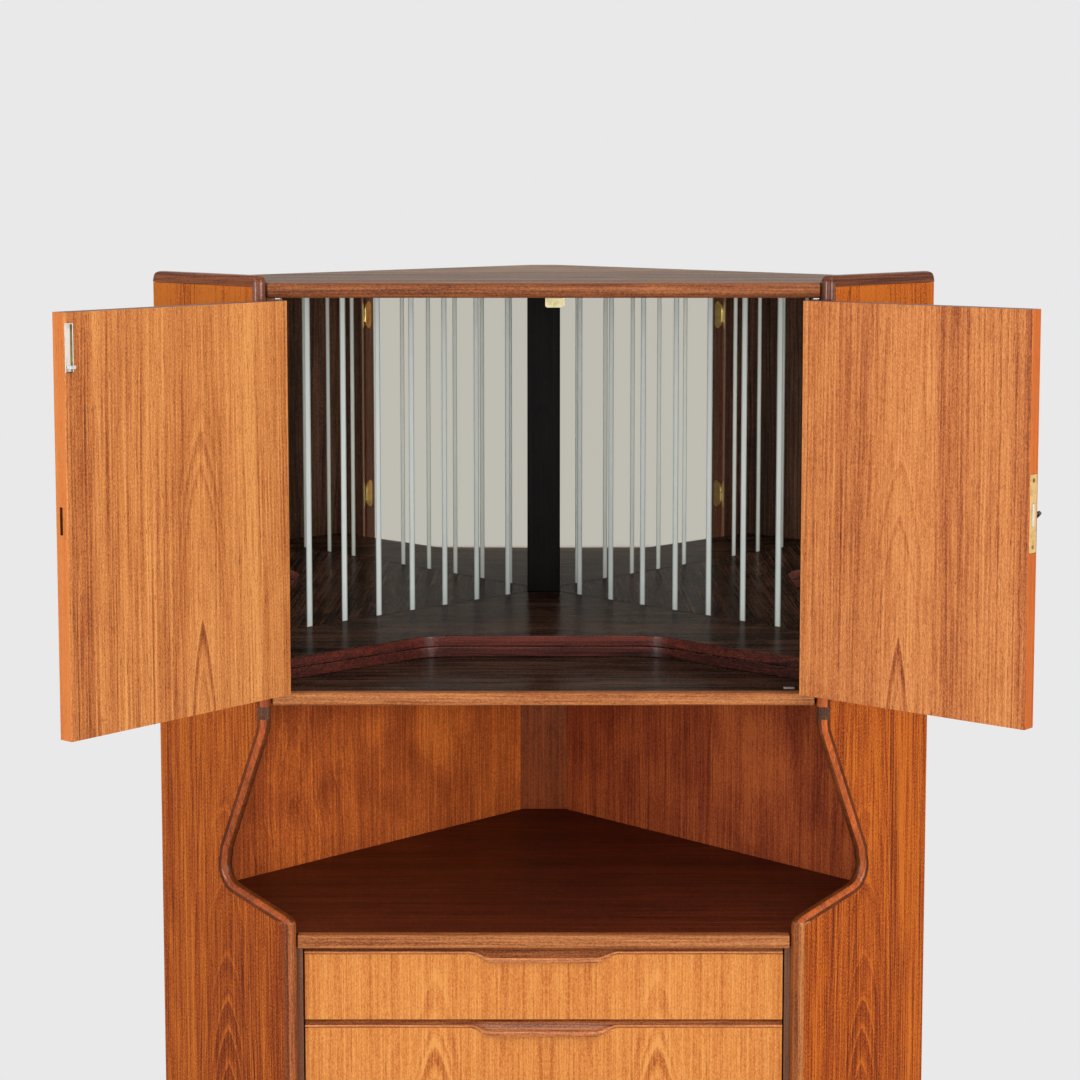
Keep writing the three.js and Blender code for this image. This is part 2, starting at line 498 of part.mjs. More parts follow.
// ---------------------------------------------------------------- drawers
const smooth = (t) => { const u = Math.min(1, Math.max(0, t)); return u * u * (3 - 2 * u); };
const pullBlend = (x) => smooth((88 - Math.abs(x)) / 28);
const pullHeight = (x) => 8.3 + 9.6 * pullBlend(x);
const pullDepth = (x) => DRAWER_T + 7 * pullBlend(x);
const STATIONS = [];
for (let i = -8; i <= 8; i++) {
  const a = Math.abs(i) / 8;
  const x = a === 0 ? 0 : (a <= 0.125 ? 58 : a <= 0.25 ? 62 : a <= 0.375 ? 68 : a <= 0.5 ? 74 : a <= 0.625 ? 80 : a <= 0.75 ? 86 : a <= 0.875 ? 90 : DRAWER_HALF);
  STATIONS.push(Math.sign(i) * x);
}
DRAWERS.forEach(([zt, zb], n) => {
  const id = `drawer_${n + 1}`;
  const group = new THREE.Group();
  cabinet.add(group);
  // front with its top edge following the pull
  const top = STATIONS.map((x) => [x, zt - pullHeight(x) - GAP]);
  const face = frontPrism([[-DRAWER_HALF, zb], ...top, [DRAWER_HALF, zb]], DRAWER_FACE, DRAWER_FACE + DRAWER_T);
  add(group, `${id}_front`, face, TEAK_LIGHT, 0.45);
  // pull: a strip with a scooped top, swelling forward and down in the middle
  const section = [[0, 0], [0.34, 0], [0.5, 0.1], [0.66, 0.3], [0.8, 0.5], [0.92, 0.62], [0.98, 0.66], [1, 0.74], [1, 0.9], [0.97, 1], [0, 1]];
  const strip = new THREE.ExtrudeGeometry(new THREE.Shape(section.map(([u, v]) => new THREE.Vector2(u, v))), { depth: 1, steps: 16, bevelEnabled: false });
  const p = strip.attributes.position;
  for (let i = 0; i < p.count; i++) {
    const x = STATIONS[Math.round(p.getZ(i) * 16)];
    const y = DRAWER_FACE + DRAWER_T - p.getX(i) * pullDepth(x);
    const z = zt - p.getY(i) * pullHeight(x);
    p.setXYZ(i, x, y, z);
  }
  const pull = new THREE.BufferGeometry();
  {
    const g = strip.clone();
    for (const name of ['normal', 'uv']) g.deleteAttribute(name);
    const merged = mergeVertices(g, 1e-4);
    pull.setAttribute('position', merged.attributes.position);
    pull.setIndex(merged.index);
    pull.computeVertexNormals();
  }
  add(group, `${id}_pull`, pull, TEAK, 0.4);
  // box: two grooved sides and a back, glued up; separate bottom
  const y0 = DRAWER_FACE + DRAWER_T + GAP, y1 = BOX_REAR;
  const zb0 = zb + 2, zt0 = n ? zb + 104 : zb + 60;
  const inner = BOX_HALF - BOX_SIDE;
  const outer = box(-BOX_HALF, y0, zb0, BOX_HALF, y1, zt0);
  const hollow = box(-inner, y0 - 5, zb0 - 5, inner, y1 - BOX_SIDE, zt0 + 5);
  const groove = (s) => box(s * (BOX_HALF - 8.8), y0 + 8, grooveZ[n] - 6.6, s * (BOX_HALF + 5), y1 + 5, grooveZ[n] + 6.6);
  const slot = box(-inner - 4.3, y0 - 5, zb0 + 5.7, inner + 4.3, y1 - BOX_SIDE + 4.3, zb0 + 10.3);
  add(group, `${id}_box`, cut(outer, hollow, groove(-1), groove(1), slot), BEECH, 0.65);
  add(group, `${id}_bottom`, box(-inner - 4, y0, zb0 + 6, inner + 4, y1 - BOX_SIDE + 4, zb0 + 10), PLY, 0.65);
});

// ---------------------------------------------------------------- plinth
{
  const z0 = 0, z1 = Z_PLINTH;
  const a = HALF_BACK - Y_REAR - 40 * Math.SQRT2, b = a - 18 * Math.SQRT2; // x - y on the side rails' faces
  const front = [[-262 + b - g2, -262], [-244 + b - g2, -244], [244 - b + g2, -244], [262 - b + g2, -262]];
  add(cabinet, 'plinth_front', prism(front, z0, z1), TEAK_DARK, 0.55);
  const corner = (sum, d) => [(sum + d) / 2, (sum - d) / 2];
  const right = [[-262 + b, -262], [-262 + a, -262], corner(276, a), corner(276, b)];
  add(cabinet, 'plinth_right', prism(right, z0, z1), TEAK_DARK, 0.55);
  add(cabinet, 'plinth_left', prism(mirrored(right), z0, z1), TEAK_DARK, 0.55);
  add(cabinet, 'plinth_bearer', box(-20, -244 + GAP, z0, 20, 236, z1), BEECH, 0.7);
}

export default cabinet;
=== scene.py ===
import bpy, bmesh, math, json
from mathutils import Vector, Matrix, Euler


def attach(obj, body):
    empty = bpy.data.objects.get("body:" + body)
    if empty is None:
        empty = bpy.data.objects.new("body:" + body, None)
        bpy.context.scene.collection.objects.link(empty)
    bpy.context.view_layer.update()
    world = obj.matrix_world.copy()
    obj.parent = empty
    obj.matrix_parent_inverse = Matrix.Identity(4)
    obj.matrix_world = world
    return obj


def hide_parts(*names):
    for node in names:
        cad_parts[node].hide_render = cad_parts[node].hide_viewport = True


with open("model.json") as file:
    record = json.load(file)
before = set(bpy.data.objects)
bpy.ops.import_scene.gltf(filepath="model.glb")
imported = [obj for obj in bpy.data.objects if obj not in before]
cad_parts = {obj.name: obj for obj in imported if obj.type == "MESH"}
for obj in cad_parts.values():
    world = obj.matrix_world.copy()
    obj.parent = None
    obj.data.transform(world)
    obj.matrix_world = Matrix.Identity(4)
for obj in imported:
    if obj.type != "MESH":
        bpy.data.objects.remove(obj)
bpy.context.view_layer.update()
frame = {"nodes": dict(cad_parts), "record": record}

NODES = frame["nodes"]
scene = bpy.context.scene
coll = scene.collection
MM = 0.001


def lin(r, g, b, a=1.0):
    """sRGB 0..255 to scene linear."""
    f = lambda c: (c / 255 / 12.92) if c <= 10.31475 else (((c / 255) + 0.055) / 1.055) ** 2.4
    return (f(r), f(g), f(b), a)


# ------------------------------------------------------------------ camera
cam_data = bpy.data.cameras.new("camera")
cam = bpy.data.objects.new("camera", cam_data)
coll.objects.link(cam)
scene.camera = cam
cam_data.sensor_fit = "HORIZONTAL"
cam_data.sensor_width = 36.0
cam_data.lens = 2495.364 / 1080 * 36.0
cam_data.shift_x = -0.0034
cam_data.shift_y = -0.10
cam_data.clip_start = 0.05
cam_data.clip_end = 60
cam.location = (0.0, -3.15872, 1.45443)
cam.rotation_euler = (math.pi / 2 - 0.10251, 0, 0)
cam_data.dof.use_dof = False

# ------------------------------------------------------------------ light
scene.view_settings.view_transform = "Standard"
scene.view_settings.look = "None"
scene.view_settings.exposure = 0
scene.view_settings.gamma = 1

world = bpy.data.worlds.new("studio")
scene.world = world
world.use_nodes = True
wn = world.node_tree
wn.nodes["Background"].inputs["Color"].default_value = (0.815, 0.815, 0.815, 1)
wn.nodes["Background"].inputs["Strength"].default_value = 1.0


def area(name, loc, target, size, size_y, power, color=(1, 1, 1), glossy=True, diffuse=True):
    d = bpy.data.lights.new(name, "AREA")
    d.shape = "RECTANGLE"
    d.size, d.size_y = size, size_y
    d.energy = power
    d.color = color
    o = bpy.data.objects.new(name, d)
    coll.objects.link(o)
    o.location = loc
    o.rotation_mode = "QUATERNION"
    o.rotation_quaternion = (Vector(target) - Vector(loc)).to_track_quat("-Z", "Y")
    o.visible_camera = False
    o.visible_glossy = glossy
    o.visible_diffuse = diffuse
    return o


area("key_left", (-3.2, -3.2, 2.3), (0, 0, 0.9), 1.4, 2.4, 30, (1.0, 0.985, 0.96))
area("key_right", (3.2, -3.2, 2.3), (0, 0, 0.9), 1.4, 2.4, 34, (1.0, 0.985, 0.96))
area("top_front", (0, -2.4, 3.8), (0, -0.1, 0.9), 2.6, 1.4, 14, (1.0, 0.99, 0.975))
area("front_fill", (0.3, -4.3, 1.15), (0, 0, 0.85), 2.6, 1.7, 62, (1.0, 0.99, 0.975), False)
area("strip_left", (-3.0, -3.6, 1.7), (0, 0, 0.9), 0.3, 2.4, 80, (1.0, 1.0, 1.0), True, False)
area("strip_right", (3.0, -3.6, 1.7), (0, 0, 0.9), 0.3, 2.4, 80, (1.0, 1.0, 1.0), True, False)


# ------------------------------------------------------------------ node helpers
class Tree:
    """Small wrapper that adds shader nodes and links them."""

    def __init__(self, name):
        self.m = bpy.data.materials.new(name)
        self.m.use_nodes = True
        self.t = self.m.node_tree
        self.bsdf = self.t.nodes["Principled BSDF"]
        self.out = self.t.nodes["Material Output"]

    def n(self, kind, **kw):
        node = self.t.nodes.new(kind)
        for k, v in kw.items():
            setattr(node, k, v)
        return node

    def link(self, a, b):
        self.t.links.new(a, b)

    def put(self, socket, value):
        if isinstance(value, bpy.types.NodeSocket):
            self.link(value, socket)
        elif value is not None:
            socket.default_value = value

    def math(self, op, a, b=None, c=None, clamp=False):
        node = self.n("ShaderNodeMath", operation=op, use_clamp=clamp)
        self.put(node.inputs[0], a)
        if b is not None:
            self.put(node.inputs[1], b)
        if c is not None:
            self.put(node.inputs[2], c)
        return node.outputs[0]

    def smooth(self, x, lo, hi, a=0.0, b=1.0):
        node = self.n("ShaderNodeMapRange", interpolation_type="SMOOTHSTEP")
        self.put(node.inputs[0], x)
        for i, v in zip((1, 2, 3, 4), (lo, hi, a, b)):
            self.put(node.inputs[i], v)
        return node.outputs[0]

    def ramp(self, x, stops, mode="LINEAR"):
        node = self.n("ShaderNodeValToRGB")
        r = node.color_ramp
        r.interpolation = mode
        while len(r.elements) > 1:
            r.elements.remove(r.elements[-1])
        r.elements[0].position, r.elements[0].color = stops[0][0], stops[0][1]
        for p, c in stops[1:]:
            e = r.elements.new(p)
            e.color = c
        self.put(node.inputs[0], x)
        return node.outputs[0]

    def mix(self, fac, a, b, blend="MIX"):
        node = self.n("ShaderNodeMix", data_type="RGBA", blend_type=blend)
        self.put(node.inputs["Factor"], fac)
        self.put([s for s in node.inputs if s.name == "A" and s.type == "RGBA"][0], a)
        self.put([s for s in node.inputs if s.name == "B" and s.type == "RGBA"][0], b)
        return [s for s in node.outputs if s.type == "RGBA"][0]

    def combine(self, x, y, z):
        node = self.n("ShaderNodeCombineXYZ")
        for s, v in zip(node.inputs, (x, y, z)):
            self.put(s, v)
        return node.outputs[0]

    def noise(self, vec, scale=1.0, detail=2.0, rough=0.5, w=0.0, distortion=0.0):
        node = self.n("ShaderNodeTexNoise", noise_dimensions="4D")
        self.put(node.inputs["Vector"], vec)
        node.inputs["W"].default_value = w
        node.inputs["Scale"].default_value = scale
        node.inputs["Detail"].default_value = detail
        node.inputs["Roughness"].default_value = rough
        node.inputs["Distortion"].default_value = distortion
        return node.outputs["Fac"]

    def voronoi(self, vec, scale=1.0, w=0.0, feature="F1", rnd=1.0):
        node = self.n("ShaderNodeTexVoronoi", voronoi_dimensions="4D", feature=feature)
        self.put(node.inputs["Vector"], vec)
        node.inputs["W"].default_value = w
        node.inputs["Scale"].default_value = scale
        node.inputs["Randomness"].default_value = rnd
        return node

    def bump(self, height, distance, strength=1.0, normal=None):
        node = self.n("ShaderNodeBump")
        node.inputs["Strength"].default_value = strength
        node.inputs["Distance"].default_value = distance
        self.put(node.inputs["Height"], height)
        if normal is not None:
            self.put(node.inputs["Normal"], normal)
        return node.outputs[0]


def axes(t, angle=0.0, grain="V", origin=(0, 0, 0)):
    """Across, along and depth coordinates in metres for a board whose face runs along the direction `angle`
    (degrees about Z from +X). grain V runs up, H runs along the face, Y runs front to back."""
    tc = t.n("ShaderNodeTexCoord")
    mp = t.n("ShaderNodeMapping", vector_type="POINT")
    t.link(tc.outputs["Object"], mp.inputs["Vector"])
    mp.inputs["Location"].default_value = origin
    mp.inputs["Rotation"].default_value = (0, 0, -math.radians(angle))
    sep = t.n("ShaderNodeSeparateXYZ")
    t.link(mp.outputs[0], sep.inputs[0])
    x, y, z = sep.outputs
    if grain == "V":
        return x, z, y
    if grain == "H":
        return z, x, y
    if grain == "P":      # flat board, grain along x, figure across y
        return y, x, z
    return x, y, z


def wood(name, light, mid, dark, line, angle=0.0, grain="V", seed=0.0, pith=(0.0, 0.0, 0.05), slope=0.05, freq=170.0,
         lines=1.0, tone=1.0, fibre=1.0, mottle=0.5, warp=1.0, pores=0.6, rough=(0.38, 0.52), spec=0.14, coat=0.0, coat_rough=0.16,
         bump=1.0, spark=1.0, crest=0.0, zones=(), streaks=0.0, tips=(), rim=0.35, painted_shade_ramp=None, leaves=None, seam=0.0, glow=0.0, fold=None, steep=0.146, point=0.03, bend=0.004):
    """Veneer or solid wood. Growth rings of a slightly tilted trunk are cut by the board, which gives nested arches
    about pith = (across, along, depth of the trunk's middle under the face) and straight lines further out. Over them
    lie slow bands of tone, fibre streaks, a cross figure and pores. light..line run from the palest to the darkest."""
    t = Tree(name)
    m = t.math
    gain = GAIN.get(name, (1, 1, 1))
    A, L, D = axes(t, angle, grain)
    seam_mask = leaf_tone = None
    if fold is not None:                                   # two halves mirrored about one joint
        s0 = m("SUBTRACT", A, fold)
        seam_mask = m("LESS_THAN", m("ABSOLUTE", s0), 0.0005)
        A = m("ADD", m("ABSOLUTE", s0), fold)
    if leaves:                                             # leaves of veneer side by side, each a mirror of the last
        width, off = leaves
        q = m("ADD", m("DIVIDE", m("SUBTRACT", A, off), width), 100.0)
        cell = m("FLOOR", q)
        f = m("SUBTRACT", q, cell)
        odd = m("MODULO", cell, 2.0)
        flip = m("ABSOLUTE", m("SUBTRACT", f, odd))
        A = m("ADD", m("MULTIPLY", flip, width), off)
        leaf_tone = t.noise(t.combine(cell, 3.7, 1.3), 0.731, 0.0, 0.5, seed + 3.1)
        edge = m("MINIMUM", f, m("SUBTRACT", 1.0, f))
        seam_mask = m("LESS_THAN", edge, 0.0005 / width)

    def P(ka, kl, kd=None):
        return t.combine(m("MULTIPLY", A, ka), m("MULTIPLY", L, kl), m("MULTIPLY", D, ka if kd is None else kd))

    slow = t.noise(P(4.0, 0.9), 1.0, 2.0, 0.5, seed)
    wav = t.noise(P(18.0, 1.7), 1.0, 2.0, 0.55, seed + 7.3)
    wav2 = t.noise(P(9.0, 4.0), 1.0, 2.0, 0.5, seed + 17.3)
    fine = t.noise(P(170.0, 10.0), 1.0, 2.0, 0.6, seed + 1.7)
    brk = t.noise(P(420.0, 46.0), 1.0, 2.0, 0.6, seed + 21.7)
    a = m("SUBTRACT", A, pith[0])
    a = m("ADD", a, m("MULTIPLY", m("SUBTRACT", slow, 0.5), 0.075 * warp))
    a = m("ADD", a, m("MULTIPLY", m("SUBTRACT", wav, 0.5), 0.012 * warp))
    d = m("ADD", m("MULTIPLY", m("SUBTRACT", L, pith[1]), slope), pith[2])
    d = m("ADD", d, m("MULTIPLY", m("SUBTRACT", wav2, 0.5), slope * warp))
    r = m("SQRT", m("ADD", m("MULTIPLY", a, a), m("MULTIPLY", d, d)))
    rf = m("MULTIPLY", r, freq)
    jit = t.noise(t.combine(m("MULTIPLY", rf, 0.42), 0.5, m("MULTIPLY", L, 0.25)), 1.0, 1.0, 0.5, seed + 12.0)
    q = m("ADD", m("ADD", rf, m("MULTIPLY", m("SUBTRACT", jit, 0.5), 3.2)), m("MULTIPLY", m("SUBTRACT", fine, 0.5), 0.6))
    qi = m("FLOOR", q)
    fr = m("SUBTRACT", q, qi)
    power = t.noise(t.combine(m("MULTIPLY", qi, 1.73), m("MULTIPLY", L, 2.2), 0.0), 1.0, 1.0, 0.5, seed + 9.0)
    power = m("MULTIPLY", t.smooth(power, 0.4, 0.74, 0.1, 1.0), t.smooth(brk, 0.3, 0.62, 0.45, 1.15))
    if crest:
        power = m("MULTIPLY", power, t.smooth(m("ABSOLUTE", a), 0.008, 0.05, 1.0 + crest, 1.0))
    ring = m("MULTIPLY", m("MULTIPLY", t.smooth(fr, 0.35, 0.9), t.smooth(fr, 0.93, 1.0, 1.0, 0.0)), power)
    pale = m("MULTIPLY", m("MULTIPLY", t.smooth(fr, 0.0, 0.06), t.smooth(fr, 0.12, 0.3, 1.0, 0.0)), power)
    q2 = m("ADD", m("MULTIPLY", rf, 3.1), m("MULTIPLY", m("ADD", m("MULTIPLY", fine, 1.5), m("MULTIPLY", jit, 5.0)), 1.0))
    f2 = m("SUBTRACT", q2, m("FLOOR", q2))
    p2 = t.noise(t.combine(m("MULTIPLY", m("FLOOR", q2), 2.31), m("MULTIPLY", L, 5.0), 3.0), 1.0, 1.0, 0.5, seed + 19.0)
    ring2 = m("MULTIPLY", m("MULTIPLY", t.smooth(f2, 0.3, 0.8), t.smooth(f2, 0.85, 1.0, 1.0, 0.0)), t.smooth(p2, 0.42, 0.75))
    band = t.noise(t.combine(m("MULTIPLY", r, 34.0), m("MULTIPLY", L, 0.5), 0.0), 1.0, 2.0, 0.6, seed + 5.0)
    broad = t.noise(P(7.0, 0.5, 7.0), 1.0, 1.0, 0.5, seed + 6.0)
    st_mid = t.noise(P(300.0, 2.6, 300.0), 1.0, 3.0, 0.6, seed + 4.0)
    st_fine = t.noise(P(700.0, 13.0, 700.0), 1.0, 2.0, 0.6, seed + 2.0)
    mott = t.noise(P(34.0, 13.0, 34.0), 1.0, 3.0, 0.55, seed + 6.6)
    sparkle = t.noise(P(760.0, 380.0, 760.0), 1.0, 1.0, 0.5, seed + 8.0)
    c = lambda x, k: m("MULTIPLY", m("SUBTRACT", x, 0.5), k)
    v = m("ADD", c(band, 1.05 * tone), c(broad, 0.6 * tone))
    v = m("ADD", v, m("ADD", c(st_mid, 1.0 * fibre), c(st_fine, 0.85 * fibre)))
    v = m("ADD", v, m("ADD", c(mott, 0.7 * mottle), c(sparkle, 0.95 * fibre * spark)))
    for centre, width, amount in zones:                    # slow lighter and darker zones across the board
        za = m("ADD", m("SUBTRACT", A, centre), c(slow, 0.02))
        v = m("ADD", v, t.smooth(m("ABSOLUTE", za), width * 0.35, width * 1.25, amount, 0.0))
    if leaf_tone is not None:
        v = m("ADD", v, c(leaf_tone, 0.3 * tone))
    v = m("ADD", v, m("ADD", m("MULTIPLY", ring, 0.52 * lines), m("MULTIPLY", ring2, 0.2 * lines)))
    v = m("SUBTRACT", v, m("MULTIPLY", pale, 0.16 * lines))
    if tips:                                               # distance to the pith for these rings, pointed at the middle
        a_ = m("ABSOLUTE", m("ADD", m("SUBTRACT", A, pith[0]), m("MULTIPLY", m("SUBTRACT", wav2, 0.5), bend * 2)))
        d_ = m("ADD", m("MULTIPLY", m("SUBTRACT", L, pith[1]), steep), pith[2])
        d_ = m("ADD", d_, m("MULTIPLY", m("SUBTRACT", fine, 0.5), 0.0012))
        r_ = m("SQRT", m("ADD", m("MULTIPLY", d_, d_), m("ADD", m("MULTIPLY", a_, a_), m("MULTIPLY", a_, point))))
        flank = t.smooth(a_, 0.004, 0.05, 1.0, 0.2)
    for height, amount, width in tips:                     # single growth rings whose arch ends at a given height
        rt = (height - pith[1]) * steep + pith[2]
        body_ = m("MULTIPLY", t.smooth(r_, rt - width, rt - width * 0.25), t.smooth(r_, rt - 0.0002, rt + 0.0008, 1.0, 0.0))
        rim_ = m("MULTIPLY", t.smooth(r_, rt, rt + 0.0009), t.smooth(r_, rt + 0.0011, rt + 0.0026, 1.0, 0.0))
        one = m("SUBTRACT", m("MULTIPLY", body_, m("MULTIPLY", t.smooth(brk, 0.25, 0.6, 0.6, 1.1), amount)), m("MULTIPLY", rim_, abs(amount) * rim))
        v = m("ADD", v, m("MULTIPLY", one, flank))
    if painted_shade_ramp:                                               # painted shade: lighter or darker towards one end along the grain, standing for light that falls unevenly on the panel
        v = m("ADD", v, t.smooth(L, painted_shade_ramp[0], painted_shade_ramp[1], 0.0, painted_shade_ramp[2]))
    if glow:
        g = t.noise(P(11.0, 7.0, 11.0), 1.0, 2.0, 0.5, seed + 14.0, 0.8)
        v = m("SUBTRACT", v, m("MULTIPLY", t.smooth(g, 0.4, 0.8), glow))
        g2 = t.noise(P(8.0, 6.0, 8.0), 1.0, 2.0, 0.5, seed + 15.0, 0.8)
        v = m("ADD", v, m("MULTIPLY", t.smooth(g2, 0.42, 0.8), glow))
    v = m("ADD", 0.36, v, None, True)
    k = lambda col: tuple([x * y for x, y in zip(col[:3], gain)] + [1.0])
    col = t.ramp(v, [(0.0, k(light)), (0.36, k(mid)), (0.68, k(dark)), (1.0, k(line))])
    # pores: short dark dashes along the grain, thicker beside the growth lines
    pv = t.noise(P(1000.0, 80.0, 1000.0), 1.0, 1.0, 0.5, seed + 11.0)
    pv2 = t.noise(P(430.0, 36.0, 430.0), 1.0, 1.0, 0.5, seed + 13.0)
    pv = m("ADD", pv, m("MULTIPLY", ring, 0.05))
    pore = m("MAXIMUM", t.smooth(pv, 0.62, 0.72), m("MULTIPLY", t.smooth(pv2, 0.7, 0.78), 0.7))
    pore = m("MULTIPLY", pore, pores, None, True)
    col = t.mix(pore, col, k(tuple(x * 0.62 for x in line[:3])))
    if streaks:
        sk = t.noise(P(260.0, 5.0, 260.0), 1.0, 2.0, 0.6, seed + 23.0)
        sk2 = t.noise(P(900.0, 700.0, 900.0), 1.0, 0.0, 0.5, seed + 24.0)
        sk = m("ADD", m("MULTIPLY", t.smooth(sk, 0.6, 0.78), 0.8), m("MULTIPLY", t.smooth(sk2, 0.78, 0.84), 0.9))
        col = t.mix(m("MULTIPLY", sk, streaks, None, True), col, (0.42, 0.33, 0.26, 1.0))
    if seam_mask is not None and seam:
        col = t.mix(m("MULTIPLY", seam_mask, seam), col, k(line))
    t.put(t.bsdf.inputs["Base Color"], col)
    rg = m("ADD", m("MULTIPLY", st_mid, rough[1] - rough[0]), rough[0])
    t.put(t.bsdf.inputs["Roughness"], m("ADD", rg, m("MULTIPLY", pore, 0.15)))
    h = m("SUBTRACT", m("MULTIPLY", st_fine, 0.4), m("MULTIPLY", pore, 0.9))
    h = m("SUBTRACT", h, m("MULTIPLY", ring, 0.2))
    t.put(t.bsdf.inputs["Normal"], t.bump(h, 0.00012 * bump, 0.55))
    t.bsdf.inputs["Specular IOR Level"].default_value = spec
    if coat:
        t.bsdf.inputs["Coat Weight"].default_value = coat
        t.bsdf.inputs["Coat Roughness"].default_value = coat_rough
    return t.m


# ------------------------------------------------------------------ materials
C = lin
M = {}
# colour balance of each wood (red, green, blue)
GAIN = {
    "teak_door_left": (0.925, 0.976, 1.077),
    "teak_door_right": (0.866, 0.849, 0.981),
    "teak_side_left": (0.72, 0.565, 0.31),
    "teak_side_right": (0.79, 0.575, 0.26),
    "teak_back_left": (1.62, 1.66, 1.7),
    "teak_back_right": (1.018, 0.946, 1.47),
    "teak_niche_strip": (2.083, 1.756, 1.34),
    "teak_lipping": (0.79, 0.8, 0.67),
    "teak_top_lipping": (1.15, 1.174, 0.89),
    "worktop_wood": (1.9, 1.95, 2.0),
    "teak_drawer": (0.7, 0.62, 0.51),
    "teak_edge_left": (1.75, 1.5, 0.85),
    "teak_edge_right": (1.75, 1.5, 0.85),
    "top_board_upper": (1.0, 1.0, 1.0),
    "teak_edge_strip_left": (0.732, 0.655, 0.577),
    "teak_edge_strip_right": (0.824, 0.827, 0.42),
    "teak_pull": (1.0, 1.0, 1.0),
    "rosewood_wall": (4.6, 5.2, 5.8),
    "rosewood_bar": (1.35, 1.3, 1.22),
    "rosewood_step": (0.98, 0.92, 0.84),
}
door_cols = dict(light=C(224, 150, 80), mid=C(196, 118, 58), dark=C(158, 82, 38), line=C(96, 44, 22))
side_cols = dict(light=C(216, 134, 60), mid=C(182, 96, 40), dark=C(146, 70, 28), line=C(104, 46, 19))
M["door_left"] = wood("teak_door_left", **door_cols, angle=-130.1, seed=1.0, pith=(0.5536, 1.0, 0.042), slope=0.03, freq=160, warp=0.35, tone=0.9, lines=0.7, crest=-0.75, rim=0.25, tips=[(0.957, 0.42, 0.005), (0.905, 0.16, 0.004), (1.172, 0.22, 0.003), (1.135, 0.2, 0.0025), (1.21, 0.1, 0.003), (1.06, 0.07, 0.003)], zones=[(0.488, 0.035, -0.13), (0.588, 0.014, 0.1), (0.718, 0.018, 0.1), (0.632, 0.026, 0.07), (0.556, 0.018, -0.08)])
M["door_right"] = wood("teak_door_right", **door_cols, angle=140.4, seed=5.0, pith=(-0.5547, 1.0, 0.042), slope=0.03, freq=160, warp=0.35, tone=0.7, lines=0.6, crest=-0.75, rim=0.25, tips=[(0.934, 0.42, 0.005), (0.89, 0.14, 0.004), (1.136, 0.18, 0.003), (1.075, 0.22, 0.0025), (1.18, 0.08, 0.003), (1.0, 0.07, 0.003)], zones=[(-0.665, 0.045, -0.1), (-0.44, 0.015, 0.08), (-0.514, 0.014, 0.1), (-0.611, 0.018, 0.07), (-0.562, 0.022, -0.07)])
# painted light: the ramp arguments make both side panels lighter towards the top, standing for less shade from the open
# doors
M["side_left"] = wood("teak_side_left", **side_cols, angle=-45, seed=9.0, pith=(-0.0961, 0.42, 0.05), slope=0.05, freq=240, warp=0.3, fibre=1.8, lines=0.8, crest=-0.6, rim=1.7, point=0.02, steep=0.2, spec=0.07, painted_shade_ramp=(1.17, 1.27, -0.42), tips=[(0.612, 0.1, 0.004), (0.5215, 0.12, 0.004), (0.466, 0.18, 0.006), (0.4295, 0.2, 0.006), (0.387, 0.2, 0.006), (0.345, 0.18, 0.006), (0.29, 0.18, 0.006), (0.24, 0.16, 0.006), (0.7, 0.08, 0.004)], zones=[(-0.158, 0.007, 0.12), (-0.21, 0.02, -0.05)])
M["side_right"] = wood("teak_side_right", **side_cols, angle=45, seed=13.0, pith=(0.1016, 0.42, 0.05), slope=0.05, freq=240, warp=0.3, fibre=2.1, lines=0.9, crest=-0.6, rim=1.7, point=0.02, steep=0.2, spec=0.07, painted_shade_ramp=(1.17, 1.27, -0.34), tips=[(0.612, 0.1, 0.004), (0.5215, 0.12, 0.004), (0.466, 0.18, 0.006), (0.4295, 0.2, 0.006), (0.387, 0.2, 0.006), (0.345, 0.18, 0.006), (0.29, 0.18, 0.006), (0.24, 0.16, 0.006), (0.7, 0.08, 0.004)], zones=[(0.158, 0.007, 0.12), (0.21, 0.02, -0.05)])
niche_cols = dict(light=C(206, 112, 46), mid=C(168, 82, 36), dark=C(132, 60, 28), line=C(100, 44, 20))
# painted shadow: the ramp arguments darken both niche walls towards the top, under the bar floor
M["back_left"] = wood("teak_back_left", **niche_cols, angle=45, seed=21.0, pith=(-0.25, 0.5, 0.03), slope=0.1, freq=190, warp=1.4, glow=0.34, lines=0.45, tone=0.6, fibre=1.05, mottle=0.35, spec=0.08, painted_shade_ramp=(0.66, 0.84, 0.28))
M["back_right"] = wood("teak_back_right", **niche_cols, angle=-45, seed=27.0, pith=(0.2, 0.5, 0.03), slope=0.1, freq=190, warp=1.4, glow=0.32, lines=0.45, tone=0.6, fibre=1.15, mottle=0.35, spec=0.08, painted_shade_ramp=(0.68, 0.84, 0.16))
M["niche_strip"] = wood("teak_niche_strip", C(130, 70, 40), C(104, 54, 30), C(78, 40, 24), C(58, 28, 16), seed=31.0, lines=0.2, tone=0.5)
drawer_cols = dict(light=C(244, 176, 102), mid=C(228, 150, 80), dark=C(200, 118, 58), line=C(166, 90, 44))
M["drawer"] = wood("teak_drawer", **drawer_cols, seed=41.0, pith=(0.134, 0.25, 0.05), slope=0.03, freq=220, warp=0.5, lines=0.3, tone=0.5, fibre=1.25, mottle=0.35, pores=0.3, fold=0.003, crest=-0.6, rim=1.3, point=0.012, steep=0.09, tips=[(0.507, 0.12, 0.003), (0.455, 0.16, 0.003), (0.428, 0.34, 0.004), (0.39, 0.25, 0.004), (0.345, 0.3, 0.004), (0.3, 0.3, 0.004), (0.25, 0.25, 0.004), (0.2, 0.25, 0.004), (0.14, 0.25, 0.004)])
lip_cols = dict(light=C(176, 112, 70), mid=C(150, 88, 52), dark=C(116, 62, 36), line=C(84, 42, 24))
M["pull"] = wood("teak_pull", **lip_cols, grain="H", seed=51.0, pith=(0.3, 0.0, 0.1), slope=0.02, freq=300, lines=0.8, fibre=1.5, tone=1.6, rough=(0.26, 0.36), coat=0.5)
